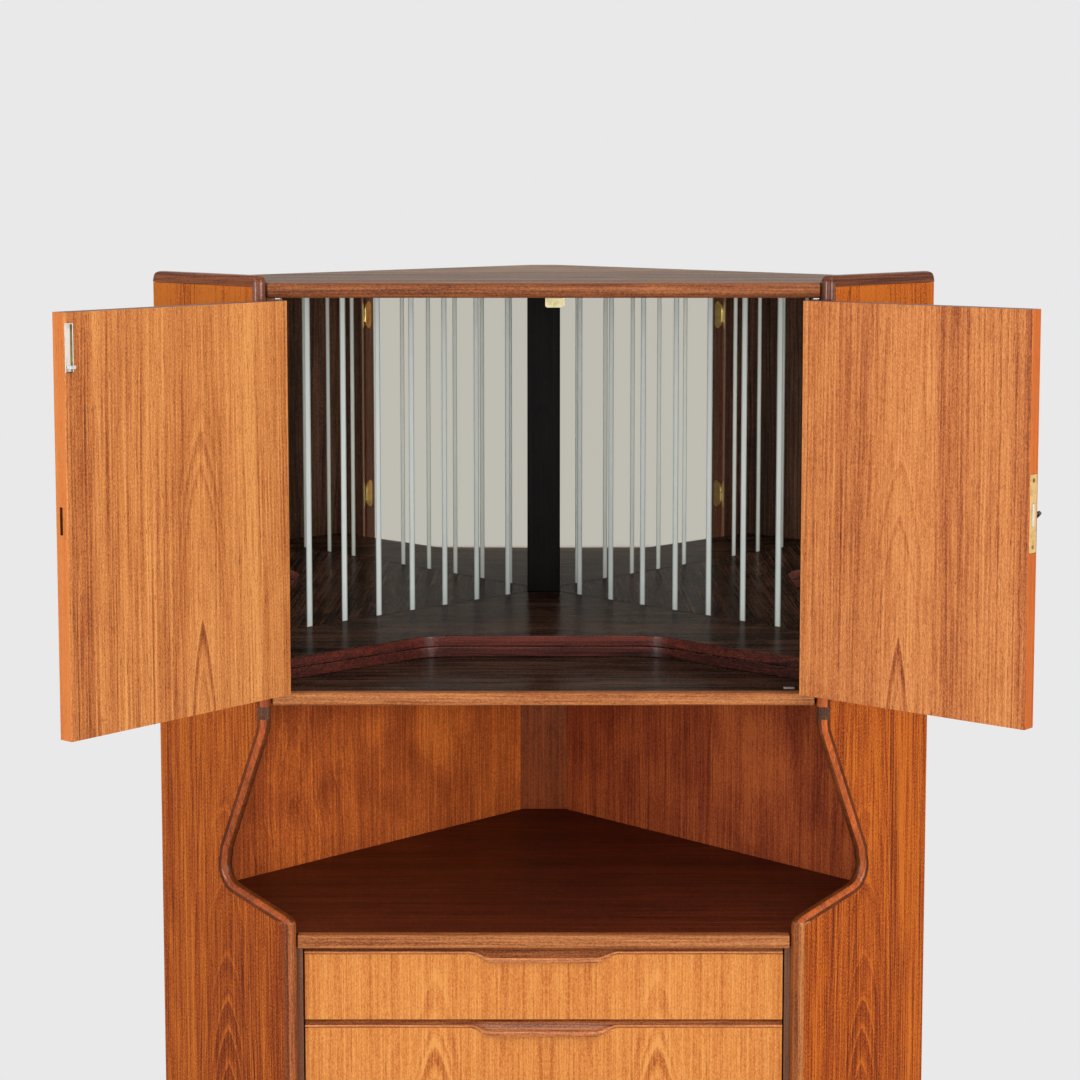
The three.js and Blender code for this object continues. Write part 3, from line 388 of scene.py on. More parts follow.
# the pull, its bead and its underside are three copies of one teak: the bead lighter as painted highlight, the
# underside darker as painted shade
M["pull_bead"] = wood("teak_pull_bead", C(214, 140, 82), C(190, 114, 62), C(150, 84, 44), C(104, 54, 28), grain="H", seed=52.0, pith=(0.3, 0.0, 0.1), slope=0.02, freq=300, lines=0.5, fibre=1.2, rough=(0.24, 0.34), coat=0.6)
M["pull_under"] = wood("teak_pull_under", C(120, 74, 48), C(96, 56, 36), C(70, 40, 26), C(50, 28, 18), grain="H", seed=53.0, pith=(0.3, 0.0, 0.1), slope=0.02, freq=300, lines=0.5)
M["lip"] = wood("teak_lipping", C(206, 136, 88), C(176, 106, 64), C(138, 74, 42), C(96, 46, 24), grain="H", seed=55.0, pith=(0.4, 0.0, 0.1), slope=0.02, freq=300, lines=0.35, fibre=1.15, tone=0.8, pores=0.4)
M["lip_top"] = wood("teak_top_lipping", C(150, 92, 62), C(122, 68, 44), C(88, 46, 28), C(58, 28, 16), grain="H", seed=57.0, pith=(0.4, 0.0, 0.1), slope=0.02, freq=300, lines=0.4, fibre=1.1, tone=0.8, pores=0.4)
M["edge_left"] = wood("teak_edge_left", C(160, 84, 42), C(124, 61, 31), C(90, 42, 21), C(58, 27, 15), angle=-45, seed=61.0, pith=(0.3, 0.0, 0.1), slope=0.02, freq=300, lines=0.5, fibre=0.9, spark=0.5, mottle=0.3, pores=0.25, bump=0.4, rough=(0.3, 0.4), spec=0.1, coat=0.3, coat_rough=0.2)
M["edge_right"] = wood("teak_edge_right", C(160, 84, 42), C(124, 61, 31), C(90, 42, 21), C(58, 27, 15), angle=45, seed=65.0, pith=(0.3, 0.0, 0.1), slope=0.02, freq=300, lines=0.5, fibre=0.9, spark=0.5, mottle=0.3, pores=0.25, bump=0.4, rough=(0.3, 0.4), spec=0.1, coat=0.3, coat_rough=0.2)
M["top"] = wood("top_board_upper", C(172, 134, 102), C(134, 101, 77), C(94, 66, 48), C(60, 40, 28), grain="P", seed=71.0, pith=(0.2, 0.0, 0.2), slope=0.03, freq=90, lines=2.0, fibre=2.2, tone=2.4, spec=0.24, rough=(0.5, 0.65))
M["top_edge"] = wood("top_board_edge", C(150, 118, 92), C(124, 94, 72), C(96, 70, 54), C(66, 46, 36), grain="H", seed=73.0, pith=(1.6, 0.0, 0.1), slope=0.02, freq=300, lines=0.4)
M["bar"] = wood("rosewood_bar", C(84, 62, 50), C(56, 38, 31), C(34, 23, 19), C(16, 11, 10), grain="P", seed=75.0, pith=(0.1, 0.0, 0.05), slope=0.05, freq=120, lines=1.1, tone=1.5, fibre=1.7, mottle=1.2, rough=(0.2, 0.3), pores=0.3, spec=0.008, streaks=0.28)
M["bar_step"] = wood("rosewood_step", C(92, 68, 56), C(58, 41, 34), C(34, 24, 20), C(15, 11, 10), grain="P", seed=77.0, pith=(0.1, 0.0, 0.05), slope=0.05, freq=120, lines=0.9, tone=1.3, fibre=1.8, mottle=1.8, rough=(0.2, 0.3), pores=0.3, spec=0.005, streaks=0.25)
M["worktop"] = wood("worktop_wood", C(84, 34, 18), C(66, 26, 14), C(48, 18, 10), C(34, 12, 7), grain="P", seed=79.0, pith=(0.1, 0.0, 0.15), slope=0.03, freq=200, lines=1.0, tone=1.1, fibre=1.8, rough=(0.3, 0.4), pores=0.3, spec=0.06)
M["black"] = wood("black_strip", C(22, 20, 19), C(15, 13, 13), C(10, 9, 9), C(7, 6, 6), seed=83.0, lines=0.4, rough=(0.35, 0.45), pores=0.2, spec=0.1)
M["partition"] = wood("partition_wood", C(138, 92, 66), C(112, 72, 50), C(84, 52, 38), C(58, 36, 28), seed=87.0, lines=0.4)
M["jamb"] = wood("jamb_wood", C(156, 112, 92), C(128, 88, 72), C(96, 64, 52), C(70, 46, 38), seed=91.0, lines=0.4)
M["plinth"] = wood("plinth_wood", C(96, 56, 36), C(74, 42, 27), C(54, 30, 20), C(38, 20, 14), grain="H", seed=93.0, lines=0.6)
M["beech"] = wood("beech", C(214, 182, 140), C(196, 162, 120), C(170, 134, 94), C(140, 104, 70), grain="H", seed=95.0, freq=400, lines=0.4, tone=0.5, rough=(0.5, 0.65))
M["ply"] = wood("plywood", C(196, 158, 112), C(176, 136, 92), C(146, 106, 68), C(116, 80, 50), grain="V", seed=97.0, freq=120, lines=0.6, rough=(0.55, 0.7))


M["door_edge_left"] = wood("teak_edge_strip_left", C(244, 162, 92), C(230, 140, 72), C(206, 112, 52), C(160, 80, 36), seed=101.0, angle=-40, pith=(0.3, 0.0, 0.1), slope=0.02, freq=260, lines=0.35, tone=0.5, fibre=0.5, pores=0.3)
M["door_edge_right"] = wood("teak_edge_strip_right", C(226, 122, 54), C(204, 100, 40), C(174, 78, 30), C(120, 50, 20), seed=103.0, angle=40, pith=(0.3, 0.0, 0.1), slope=0.02, freq=260, lines=0.35, tone=0.5, fibre=0.5, pores=0.3)
# painted reflection: grey-brown colour for the door's top and bottom edges stands for their grazing sheen
M["door_top"] = wood("teak_edge_top", C(132, 92, 84), C(104, 70, 66), C(80, 52, 48), C(56, 36, 32), seed=105.0, grain="H", pith=(0.3, 0.0, 0.1), slope=0.02, freq=260, lines=0.4)
# painted reflection: grey-brown colour for the door's hinge-side end stands for sheen on it
M["door_hinge_edge"] = wood("teak_painted_sheen_hinge_end", C(178, 132, 112), C(152, 110, 93), C(120, 84, 70), C(84, 56, 46), seed=121.0, pith=(0.3, 0.0, 0.1), slope=0.02, freq=260, lines=0.4)
# painted shade: darker teak for the walls of the lock mortise
M["slot"] = wood("teak_mortise_painted_shade", C(112, 64, 36), C(86, 47, 26), C(62, 33, 18), C(38, 19, 11), seed=119.0, lines=0.4, spec=0.04)
M["bar_wall"] = wood("rosewood_wall", C(84, 58, 46), C(56, 38, 30), C(36, 25, 21), C(20, 14, 12), seed=107.0, pith=(0.1, 1.0, 0.05), slope=0.05, freq=140, tone=1.2, rough=(0.3, 0.4), spec=0.08)
M["bar_edge"] = wood("rosewood_edge", C(120, 52, 40), C(78, 38, 32), C(46, 25, 22), C(24, 14, 14), grain="H", seed=109.0, pith=(0.85, 0.0, 0.02), slope=0.02, freq=520, lines=1.1, tone=1.9, fibre=1.2, rough=(0.24, 0.34), spec=0.2, coat=0.3)
# painted light: lit and shaded copies of one teak for the outer-facing and front-facing halves of each lower nose
NOSE = {
    "edge_dark_left": (C(158, 84, 38), C(130, 64, 27), C(102, 48, 20), C(66, 32, 15)),
    "edge_nose_left": (C(190, 116, 66), C(161, 92, 49), C(128, 68, 35), C(88, 46, 24)),
    "edge_dark_right": (C(184, 116, 63), C(156, 93, 49), C(124, 69, 35), C(82, 44, 24)),
    "edge_nose_right": (C(162, 92, 44), C(133, 71, 31), C(106, 52, 22), C(70, 36, 17)),
}
for k_, (key_, cols_) in enumerate(NOSE.items()):
    M[key_] = wood("teak_" + key_, *cols_, angle=-45 if "left" in key_ else 45, seed=62.0 + k_, pith=(0.3, 0.0, 0.1), slope=0.02, freq=300, lines=0.8, fibre=1.3,
                   rough=(0.28, 0.38), spec=0.1, coat=0.12, coat_rough=0.2, bump=0.5)
for side_, ang, sd in (("left", -45, 63.0), ("right", 45, 67.0)):
    M["edge_rim_" + side_] = wood("teak_edge_rim_" + side_, C(128, 66, 32), C(102, 50, 24), C(78, 37, 18), C(52, 25, 13), angle=ang, seed=sd, pith=(0.3, 0.0, 0.1),
                                  slope=0.02, freq=300, lines=0.3, fibre=0.6, rough=(0.3, 0.4), spec=0.08, bump=0.4)
    M["edge_gap_" + side_] = wood("teak_edge_gap_" + side_, C(112, 74, 54), C(88, 56, 40), C(64, 40, 28), C(42, 26, 18), angle=ang, seed=sd + 9, pith=(0.3, 0.0, 0.1),
                                  slope=0.02, freq=300, lines=0.5, fibre=1.2, rough=(0.3, 0.4), spec=0.12, bump=0.5)
    M["edge_up_" + side_] = wood("teak_edge_up_" + side_, C(150, 90, 62), C(120, 68, 46), C(92, 50, 33), C(62, 33, 22), angle=ang, seed=sd + 13, pith=(0.3, 0.0, 0.1),
                                 slope=0.02, freq=300, lines=0.5, fibre=1.1, rough=(0.28, 0.38), spec=0.12, coat=0.5, coat_rough=0.2, bump=0.5)
    # painted shade: darker teak for the niche side of the raked lipping
    M["edge_inner_" + side_] = wood("teak_edge_inner_" + side_, C(134, 72, 34), C(104, 52, 25), C(78, 38, 18), C(52, 25, 13), angle=ang, seed=sd + 11, pith=(0.3, 0.0, 0.1),
                                    slope=0.02, freq=300, lines=0.5, fibre=0.9, rough=(0.3, 0.4), spec=0.1, coat=0.15, coat_rough=0.2, bump=0.5)
# painted shade: darker brown for the upward-facing strip along the top of each side panel; its grain runs along the
# strip
M["edge_top_left"] = wood("teak_edge_top_left", C(138, 78, 46), C(110, 60, 36), C(80, 42, 26), C(56, 28, 18), grain="H", angle=-45, seed=111.0, pith=(1.6, 0.0, 0.1), slope=0.02, freq=300, fibre=1.3, spec=0.08, rough=(0.28, 0.4), coat=0.1)
M["edge_top_right"] = wood("teak_edge_top_right", C(138, 78, 46), C(110, 60, 36), C(80, 42, 26), C(56, 28, 18), grain="H", angle=45, seed=113.0, pith=(1.6, 0.0, 0.1), slope=0.02, freq=300, fibre=1.3, spec=0.08, rough=(0.28, 0.4), coat=0.1)


def metal(name, color, dark, rough=(0.22, 0.4), seed=0.0, stain=0.6, metallic=1.0):
    t = Tree(name)
    tc = t.n("ShaderNodeTexCoord")
    v = tc.outputs["Object"]
    n1 = t.noise(v, 90.0, 3.0, 0.6, seed)
    n2 = t.noise(v, 900.0, 2.0, 0.6, seed + 2)
    n3 = t.noise(v, 28.0, 2.0, 0.5, seed + 4)
    k = t.math("MULTIPLY", t.smooth(n1, 0.46, 0.72), stain)
    t.put(t.bsdf.inputs["Base Color"], t.mix(k, color, dark))
    t.bsdf.inputs["Metallic"].default_value = metallic
    rg = t.math("ADD", rough[0], t.math("MULTIPLY", t.math("ADD", t.math("MULTIPLY", n2, 0.4), t.math("MULTIPLY", n3, 0.6)), rough[1] - rough[0]))
    t.put(t.bsdf.inputs["Roughness"], rg)
    t.put(t.bsdf.inputs["Normal"], t.bump(n2, 0.00006, 0.4))
    return t.m


M["brass"] = metal("brass_worn", C(224, 200, 128), C(132, 104, 56), seed=1.0, stain=0.5)
# painted reflection: a part-diffuse near-white base brightens the plated steel in place of softbox reflections; the
# stain noise is real wear
M["steel"] = metal("nickel_wear_and_painted_reflection", C(232, 232, 230), C(150, 146, 138), rough=(0.28, 0.46), seed=5.0, stain=0.3, metallic=0.75)
M["brass_dark"] = metal("brass_dark", C(168, 138, 84), C(92, 68, 38), seed=12.0, stain=0.7)
M["brass_pale"] = metal("brass_pale", C(242, 230, 184), C(176, 150, 96), seed=14.0, stain=0.4)
M["brass_gold"] = metal("brass_gold", C(252, 208, 134), C(156, 108, 56), seed=16.0, stain=0.5)
M["iron"] = metal("iron_dark", C(96, 94, 92), C(48, 44, 42), rough=(0.35, 0.5), seed=9.0, stain=0.7)


def mirror_material(name, side):
    """Mirror glass with frosted upright stripes, counted along the glass from the corner."""
    t = Tree(name)
    tc = t.n("ShaderNodeTexCoord")
    sep = t.n("ShaderNodeSeparateXYZ")
    t.link(tc.outputs["Object"], sep.inputs[0])
    x = t.math("MULTIPLY", sep.outputs[0], float(side))
    l = t.math("DIVIDE", x, math.cos(math.radians(44.46)))
    s = t.math("DIVIDE", t.math("SUBTRACT", l, 0.06925 - 0.05836 / 2), 0.05836)
    f = t.math("SUBTRACT", s, t.math("FLOOR", s))
    dist = t.math("MULTIPLY", t.math("ABSOLUTE", t.math("SUBTRACT", f, 0.5)), 0.05836)
    inside = t.math("MULTIPLY", t.smooth(dist, 0.00455, 0.0047, 1.0, 0.0), t.math("GREATER_THAN", l, 0.045))
    inside = t.math("MULTIPLY", inside, t.math("LESS_THAN", l, 0.0692 + 0.05836 * 9.3))
    n1 = t.noise(tc.outputs["Object"], 14.0, 2.0, 0.5, 3.0)
    # painted shade: each flat frosted stripe darkens towards its edges, like a shaded rounded strip
    stripe_edge_painted_shade = t.smooth(dist, 0.0022, 0.0042)
    stripe = t.mix(stripe_edge_painted_shade, C(238, 246, 243), C(168, 182, 178))
    t.put(t.bsdf.inputs["Base Color"], t.mix(inside, C(231, 229, 223), stripe))
    t.put(t.bsdf.inputs["Metallic"], t.math("SUBTRACT", 1.0, inside))
    base = t.math("ADD", 0.012, t.math("MULTIPLY", t.smooth(n1, 0.5, 0.8), 0.01))
    t.put(t.bsdf.inputs["Roughness"], t.math("ADD", base, t.math("MULTIPLY", inside, 0.5)))
    return t.m


M["mirror_left"] = mirror_material("mirror_glass_left", -1)
M["mirror_right"] = mirror_material("mirror_glass_right", 1)

# ------------------------------------------------------------------ materials on the CAD nodes
assign = {
    "side_panel_left": "side_left", "side_panel_right": "side_right",
    "side_lipping_left": "edge_left", "side_lipping_right": "edge_right",
    "back_panel_left": "back_left", "back_panel_right": "back_right",
    "niche_corner_strip": "niche_strip", "bar_corner_strip": "black",
    "top_board": "top", "top_lipping": "lip_top", "bar_floor": "bar", "bar_floor_lipping": "lip",
    "worktop": "worktop", "worktop_lipping": "lip", "bottom_board": "beech",
    "mirror_left": "mirror_left", "mirror_right": "mirror_right",
    "platform_lower": "bar_step", "platform_upper": "bar_step",
    "hinge_jamb_left": "jamb", "hinge_jamb_right": "jamb",
    "strike_bracket": "brass_pale", "door_left": "door_left", "door_right": "door_right",
    "slide_bolt_channel": "steel", "slide_bolt": "steel", "lock_case": "brass_gold", "lock_bolt": "steel", "key": "iron",
    "drawer_partition_left": "partition", "drawer_partition_right": "partition",
    "plinth_front": "plinth", "plinth_left": "plinth", "plinth_right": "plinth", "plinth_bearer": "beech",
}
for i in range(1, 5):
    assign[f"drawer_{i}_front"] = "drawer"
    assign[f"drawer_{i}_pull"] = "pull"
    assign[f"drawer_{i}_box"] = "beech"
    assign[f"drawer_{i}_bottom"] = "ply"
for n in NODES:
    if n.startswith("hinge_") and "jamb" not in n:
        assign[n] = "brass"


def paint(obj, mat):
    obj.data.materials.clear()
    obj.data.materials.append(mat)


for n, o in NODES.items():
    paint(o, M[assign[n]])


# ------------------------------------------------------------------ finer meshes in place of the CAD nodes
BODY = {n: b for b, ns in frame["record"]["behaviour"]["bodies"].items() for n in ns}
ROT_L, ROT_R = math.radians(-130.1), math.radians(140.4)
PIN = {"left": Vector((-0.3109, -0.2842, 0)), "right": Vector((0.3109, -0.2842, 0))}


def door_point(side, x, y, z):
    """World place of a point in a door's own frame (mm from the pin: x along the door, y from its pin plane inward)."""
    if side == "left":
        c, s_ = math.cos(ROT_L), math.sin(ROT_L)
        return PIN["left"] + Vector((x * c - y * s_, x * s_ + y * c, z)) * MM
    c, s_ = math.cos(ROT_R), math.sin(ROT_R)
    return PIN["right"] + Vector((-x * c - y * s_, -x * s_ + y * c, z)) * MM


DOOR_X = {"left": Vector((math.cos(ROT_L), math.sin(ROT_L), 0)), "right": Vector((-math.cos(ROT_R), -math.sin(ROT_R), 0))}
DOOR_Y = {"left": Vector((-math.sin(ROT_L), math.cos(ROT_L), 0)), "right": Vector((-math.sin(ROT_R), math.cos(ROT_R), 0))}


def finish_mesh(bm, name, mats, body, smooth=38, weighted=True):
    me = bpy.data.meshes.new(name)
    bmesh.ops.recalc_face_normals(bm, faces=bm.faces)
    bm.to_mesh(me)
    bm.free()
    for m in mats:
        me.materials.append(m)
    me.shade_smooth()
    me.set_sharp_from_angle(angle=math.radians(smooth))
    o = bpy.data.objects.new(name, me)
    coll.objects.link(o)
    if weighted:
        w = o.modifiers.new("weighted_normal", "WEIGHTED_NORMAL")
        w.keep_sharp = True
        w.weight = 60
    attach(o, body)
    return o


def refine(node, mats=None, pick=None, width=0.0007, segments=2, angle=32, wide=None, cuts=(), smooth=38):
    """A node's own shape with its edges eased: width and segments of the small round, wide = (test, width, segments)
    for edges with a larger one, cuts = heights at which faces are divided so that they can carry two finishes."""
    src = NODES[node].data
    bm = bmesh.new()
    bm.from_mesh(src)
    bmesh.ops.remove_doubles(bm, verts=bm.verts, dist=2e-6)
    bmesh.ops.dissolve_limit(bm, angle_limit=math.radians(0.6), verts=bm.verts, edges=bm.edges)
    for z in cuts:
        bmesh.ops.bisect_plane(bm, geom=bm.verts[:] + bm.edges[:] + bm.faces[:], plane_co=(0, 0, z), plane_no=(0, 0, 1), dist=1e-6)

    def sharp(e, lim):
        return len(e.link_faces) == 2 and e.calc_face_angle(0) > math.radians(lim)
    if wide:
        for test, w, seg in (wide if isinstance(wide, list) else [wide]):
            es = [e for e in bm.edges if sharp(e, angle) and test(e)]
            if es:
                bmesh.ops.bevel(bm, geom=es, offset=w, segments=seg, profile=0.5, affect="EDGES", clamp_overlap=True)
    if width:
        es = [e for e in bm.edges if sharp(e, angle)]
        if es:
            bmesh.ops.bevel(bm, geom=es, offset=width, segments=segments, profile=0.5, affect="EDGES", clamp_overlap=True)
    if mats is None:
        mats = [M[assign[node]]]
    if pick:
        bm.normal_update()
        for f in bm.faces:
            f.material_index = pick(f.calc_center_median(), f.normal)
    o = finish_mesh(bm, node + "_fine", mats, BODY[node], smooth)
    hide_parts(node)
    return o


# doors: eased free edges with a solid edge strip
for side in ("left", "right"):
    dx = DOOR_X[side]
    node = "door_" + side
    def pick(c, n, dx=dx, side=side):
        along, deep = (c - PIN[side]).dot(dx), (c - PIN[side]).dot(DOOR_Y[side])
        # painted shade: faces inside the lock mortise take the darker teak
        if 0.0045 < deep < 0.0215 and 0.05 < along < (0.3239 if side == "left" else 0.2937) and 0.856 < c.z < 1.309:
            return 3
        if n.dot(dx) > 0.8:
            return 1
        # painted reflection: the hinge-side end takes the grey-brown colour that stands for its sheen
        if n.dot(dx) < -0.8:
            return 4
        # painted reflection: top and bottom edges take the grey-brown colour that stands for their grazing sheen
        return 2 if abs(n.z) > 0.8 else 0
    far = 0.3245 if side == "left" else 0.2943
    def at_free(e, dx=dx, side=side, far=far):
        d = [(v.co - PIN[side]).dot(dx) for v in e.verts]
        tall = abs(e.verts[0].co.z - e.verts[1].co.z) > 0.03
        return min(d) > far - 0.0012 and tall and all(v.co.z > 0.84 for v in e.verts) and not any(0.9 < v.co.z < 1.25 for v in e.verts)
    refine(node, [M[node], M["door_edge_" + side], M["door_top"], M["slot"], M["door_hinge_edge"]], pick, 0.0007, 2, 32, (at_free, 0.0022, 4))

# side panels: teak outside, dark veneer inside the bar
for side, sx in (("left", -1), ("right", 1)):
    inward = Vector((-sx, 1, 0)).normalized()
    def pick(c, n, inward=inward):
        return 1 if n.dot(inward) > 0.7 and c.z > 0.845 else 0
    refine("side_panel_" + side, [M["side_" + side], M["bar_wall"]], pick, 0.0005, 1, 32, None, (0.845,))
    def pick_back(c, n, sx=sx):
        return 1 if n.dot(Vector((sx, 1, 0)).normalized()) > 0.7 else 0
    refine("back_panel_" + side, [M["back_" + side], M["ply"]], pick_back, 0.0004, 1)
    def pick_lip(c, n, sx=sx):                             # the strip along the top of the panel runs along the panel; its darker brown is painted shade
        along = Vector((-sx, -1, 0)).normalized().dot(c - Vector((sx * 0.29, -0.321, 0)))
        if c.z > 1.306 and along < -0.012:
            return 1
        outer = n.dot(Vector((sx, -1, 0)).normalized())    # + outer face of the panel, - inner face
        if c.z > 1.15:
            return 7
        if 0.821 < c.z < 0.836:
            return 5
        if c.z < 0.586:
            # painted light: the outer-facing half and the front-facing half of the nose take lit and shaded copies of
            # one teak
            return 2 if outer > 0.56 else 4
        # painted shade: faces of the raked lipping that face into the niche take the darker teak
        if c.z < 0.821 and outer < 0.3:
            return 6
        return 3 if abs(outer) > 0.95 else 0
    refine("side_lipping_" + side, [M["edge_" + side], M["edge_top_" + side], M["edge_dark_" + side], M["edge_rim_" + side], M["edge_nose_" + side],
                                    M["edge_gap_" + side], M["edge_inner_" + side], M["edge_up_" + side]], pick_lip, 0.0, None, 32, None,
           (0.586, 0.821, 0.836, 1.15), 50)

def pick_top(c, n):                                    # veneered faces, plain brown edges
    return 0 if abs(n.z) > 0.6 else 1


refine("top_board", [M["top"], M["top_edge"]], pick_top)
refine("bottom_board", [M["beech"], M["lip"]], lambda c, n: 1 if n.y < -0.6 else 0)
for n in ("bar_floor", "worktop", "niche_corner_strip", "bar_corner_strip", "hinge_jamb_left", "hinge_jamb_right",
          "drawer_partition_left", "drawer_partition_right", "plinth_front", "plinth_left", "plinth_right", "plinth_bearer"):
    refine(n)
for n in ("top_lipping", "bar_floor_lipping", "worktop_lipping"):
    refine(n, None, None, 0.0005, 2, 40, smooth=50)
for n in ("platform_lower", "platform_upper"):
    def pick(c, n_):
        return 1 if abs(n_.z) < 0.6 else 0
    refine(n, [M["bar_step"], M["bar_edge"]], pick, 0.0012, 3, 40)
for i in range(1, 5):
    refine(f"drawer_{i}_front", None, None, 0.0008, 2)
    refine(f"drawer_{i}_box", None, None, 0.0006, 1)
    refine(f"drawer_{i}_bottom", None, None, 0.0)
for n in NODES:
    if n.startswith("hinge_") and "jamb" not in n:
        refine(n, None, None, 0.0002, 1, 40, smooth=45)
refine("strike_bracket", None, None, 0.0005, 3, 40, smooth=60)
def pick_channel(c, n):
    return 0 if n.dot(DOOR_Y["left"]) > 0.5 or n.dot(DOOR_X["left"]) < -0.5 else 1


refine("slide_bolt_channel", [M["steel"], M["brass"]], pick_channel, 0.0002, 2, 40, smooth=45)
for n in ("lock_case", "lock_bolt", "slide_bolt"):
    refine(n, None, None, 0.0002, 2, 40, smooth=45)
refine("key", None, None, 0.0003, 2, 50, smooth=50)


def smoothstep(v):
    v = max(0.0, min(1.0, v))
    return v * v * (3 - 2 * v)


# drawer pulls: a strip along the top edge of each front that swells forward and down into a scooped finger grip
SECTION = [(0, 0), (0.17, 0), (0.34, 0.0), (0.42, 0.035), (0.5, 0.1), (0.58, 0.19), (0.66, 0.295), (0.73, 0.4), (0.8, 0.5), (0.86, 0.575), (0.91, 0.615),
           (0.95, 0.635), (0.98, 0.665), (0.995, 0.71), (1.0, 0.77), (1.0, 0.86), (0.99, 0.93), (0.965, 0.98), (0.93, 1.0), (0.5, 1.0), (0, 1.0)]
DRAWER_TOPS = [552.6, 463.5, 335.1, 206.7]
half = [0, 15, 30, 44, 50, 54, 57] + [58 + 1.5 * k for k in range(0, 22)] + [93, 100, 140, 200, 260, 278, 281.2]
stations = [-v for v in reversed(half[1:])] + half
for i, zt in enumerate(DRAWER_TOPS):
    bm = bmesh.new()
    rings = []
    for x in stations:
        b = smoothstep((88 - abs(x)) / 28)
        h, dp = 8.3 + 9.6 * b, 16 + 7 * b
        rings.append([bm.verts.new((x * MM, (-288.5 - u * dp) * MM, (zt - v * h) * MM)) for u, v in SECTION])
    n = len(SECTION)
    for a, b in zip(rings, rings[1:]):
        for k in range(n):
            f = bm.faces.new((a[k], a[(k + 1) % n], b[(k + 1) % n], b[k]))
            # painted light: the bead rows take the lighter teak as painted highlight, the underside rows the darker
            # teak as painted shade
            f.material_index = 1 if 11 <= k <= 17 else (2 if k in (18, 19) else 0)
    bm.faces.new(rings[0])
    bm.faces.new(list(reversed(rings[-1])))
    o = finish_mesh(bm, f"drawer_{i + 1}_pull_fine", [M["pull"], M["pull_bead"], M["pull_under"]], f"drawer_{i + 1}", 50, False)
    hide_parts(f"drawer_{i + 1}_pull")

# ------------------------------------------------------------------ screws and the small floor plate
def screw(name, centre, out, turn, radius, mat, body, height=0.00032):
    """Countersunk slotted head, set flush: a shallow domed disc parted by its slot. out = direction it faces."""
    out = out.normalized()
    side_ = out.cross(Vector((0, 0, 1)) if abs(out.z) < 0.9 else Vector((1, 0, 0))).normalized()
    side_ = Matrix.Rotation(math.radians(turn), 3, out) @ side_
    up_ = out.cross(side_)
    bm = bmesh.new()
    segs = 22
    w = radius * 0.15

    def place(u, v, h):
        return bm.verts.new(centre + side_ * u + up_ * v + out * h)
    # thin seat under the two halves, which is also the bottom of the slot
    low = [place(radius * math.cos(2 * math.pi * k / 32), radius * math.sin(2 * math.pi * k / 32), 0.00002) for k in range(32)]
    top = [place(radius * 0.99 * math.cos(2 * math.pi * k / 32), radius * 0.99 * math.sin(2 * math.pi * k / 32), height * 0.3) for k in range(32)]
    for k in range(32):
        bm.faces.new((low[k], low[(k + 1) % 32], top[(k + 1) % 32], top[k]))
    bm.faces.new(top)
    bm.faces.new(list(reversed(low)))
    for sgn in (1, -1):
        a0 = math.asin(w / radius)
        rim = [(radius * math.cos(t), radius * math.sin(t)) for t in [a0 + (math.pi - 2 * a0) * k / segs for k in range(segs + 1)]]
        rows = []
        for f, h in ((1.0, height * 0.35), (0.97, height * 0.72), (0.86, height * 0.92), (0.5, height)):
            rows.append([place(x * f, sgn * (w + (y - w) * f), h) for x, y in rim])
        for r0, r1 in zip(rows, rows[1:]):
            for k in range(segs):
                bm.faces.new((r0[k], r0[k + 1], r1[k + 1], r1[k]))
        bm.faces.new(rows[-1])
        wall = [r[0] for r in rows] + [r[-1] for r in reversed(rows)]
        bm.faces.new(wall)
    return finish_mesh(bm, name, [mat], body, 40, False)


def flat_screws(prefix, spots, out, mat, body, radius=0.0021, height=0.00032):
    for i, c in enumerate(spots):
        screw(f"{prefix}_{i + 1}", c, out, 17 + 53 * i, radius, mat, body, height)


flat_screws("lock_plate_screw", [door_point("right", 294.8, 13, z) for z in (1053.5, 1126.5)], DOOR_X["right"], M["brass_dark"], "door_right", 0.0024)
flat_screws("channel_screw", [door_point("left", 318.2, 23.0, z) for z in (1250.4,)], DOOR_Y["left"], M["steel"], "door_left", 0.0014)
flat_screws("bracket_screw", [Vector((0.0129, -0.2605, 1.3062))], Vector((0, -1, 0)), M["brass"], "cabinet", 0.0018)
for side, sx in (("left", -1), ("right", 1)):
    for level, z in (("lower", 939.0), ("upper", 1230.0)):
        flat_screws(f"hinge_{side}_{level}_screw_fixed", [Vector((sx * 0.31105, -0.2722, (z + dz) * MM)) for dz in (-13.5, 13.5)], Vector((-sx, 0, 0)),
                    M["brass"], "cabinet", 0.0019, 0.0001)
        flat_screws(f"hinge_{side}_{level}_screw_moving", [door_point(side, 0.15, 11.6, z + dz) for dz in (-13.5, 13.5)], -DOOR_X[side],
                    M["brass"], "door_" + side, 0.0019, 0.0001)

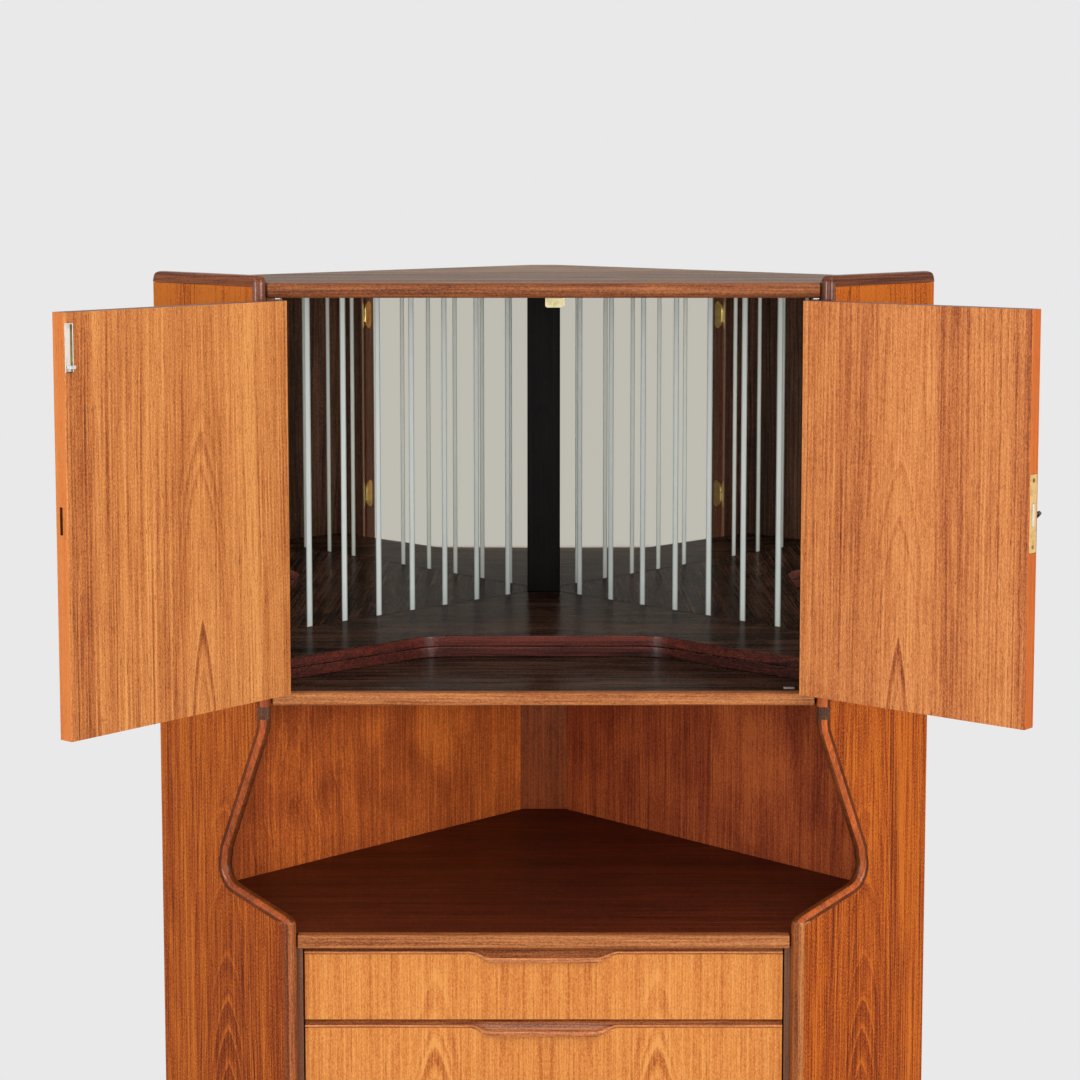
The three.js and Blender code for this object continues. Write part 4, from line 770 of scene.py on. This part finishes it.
# a thin plate let down on the bar floor beside the right jamb, with rounded corners
bm = bmesh.new()
cx, cy, hx, hy, rc = 0.2895, -0.2595, 0.0065, 0.0042, 0.0018
outline = []
for qx, qy, a0 in ((1, 1, 0), (-1, 1, 90), (-1, -1, 180), (1, -1, 270)):
    for k in range(7):
        t = math.radians(a0 + 15 * k)
        outline.append((cx + qx * (hx - rc) + rc * math.cos(t), cy + qy * (hy - rc) + rc * math.sin(t)))
rows = []
for inset, z in ((0.0, 0.85245), (0.0, 0.8528), (0.00012, 0.85292), (0.0003, 0.85297)):
    rows.append([bm.verts.new((cx + (x - cx) * (1 - inset / hx), cy + (y - cy) * (1 - inset / hy), z)) for x, y in outline])
for r0, r1 in zip(rows, rows[1:]):
    for k in range(len(outline)):
        bm.faces.new((r0[k], r0[(k + 1) % len(outline)], r1[(k + 1) % len(outline)], r1[k]))
bm.faces.new(rows[-1])
bm.faces.new(list(reversed(rows[0])))
finish_mesh(bm, "floor_plate", [M["steel"]], "cabinet", 40, False)



def pad(name, x0, x1, y0, y1, z0, z1, mat, body, ease=0.0004):
    """A small metal pad with eased edges."""
    bm = bmesh.new()
    bmesh.ops.create_cube(bm, size=1.0)
    for v in bm.verts:
        v.co = Vector(((x0 + x1) / 2 + v.co.x * (x1 - x0), (y0 + y1) / 2 + v.co.y * (y1 - y0), (z0 + z1) / 2 + v.co.z * (z1 - z0)))
    bmesh.ops.bevel(bm, geom=bm.edges[:], offset=ease, segments=3, profile=0.5, affect="EDGES")
    return finish_mesh(bm, name, [mat], body, 50, True)


# bright pads under the top board beside the pins, a few pixels each in the photo
pad("pin_pad_left", -0.3093, -0.3042, -0.2858, -0.2814, 1.3121, 1.31376, M["steel"], "cabinet")
pad("pin_pad_right", 0.3106, 0.3168, -0.2858, -0.2814, 1.3121, 1.31376, M["steel"], "cabinet")

# ------------------------------------------------------------------ floor
me = bpy.data.meshes.new("floor")
me.from_pydata([(-5, -6, 0), (5, -6, 0), (5, 0.72, 0), (-5, 0.72, 0)], [], [(0, 1, 2, 3)])
floor = bpy.data.objects.new("floor", me)
coll.objects.link(floor)
tf = Tree("floor_pale")
nz = tf.noise(tf.n("ShaderNodeTexCoord").outputs["Object"], 2.0, 3.0, 0.5, 2.0)
tf.put(tf.bsdf.inputs["Base Color"], tf.mix(nz, C(222, 222, 221), C(228, 228, 227)))
tf.bsdf.inputs["Roughness"].default_value = 0.85
paint(floor, tf.m)
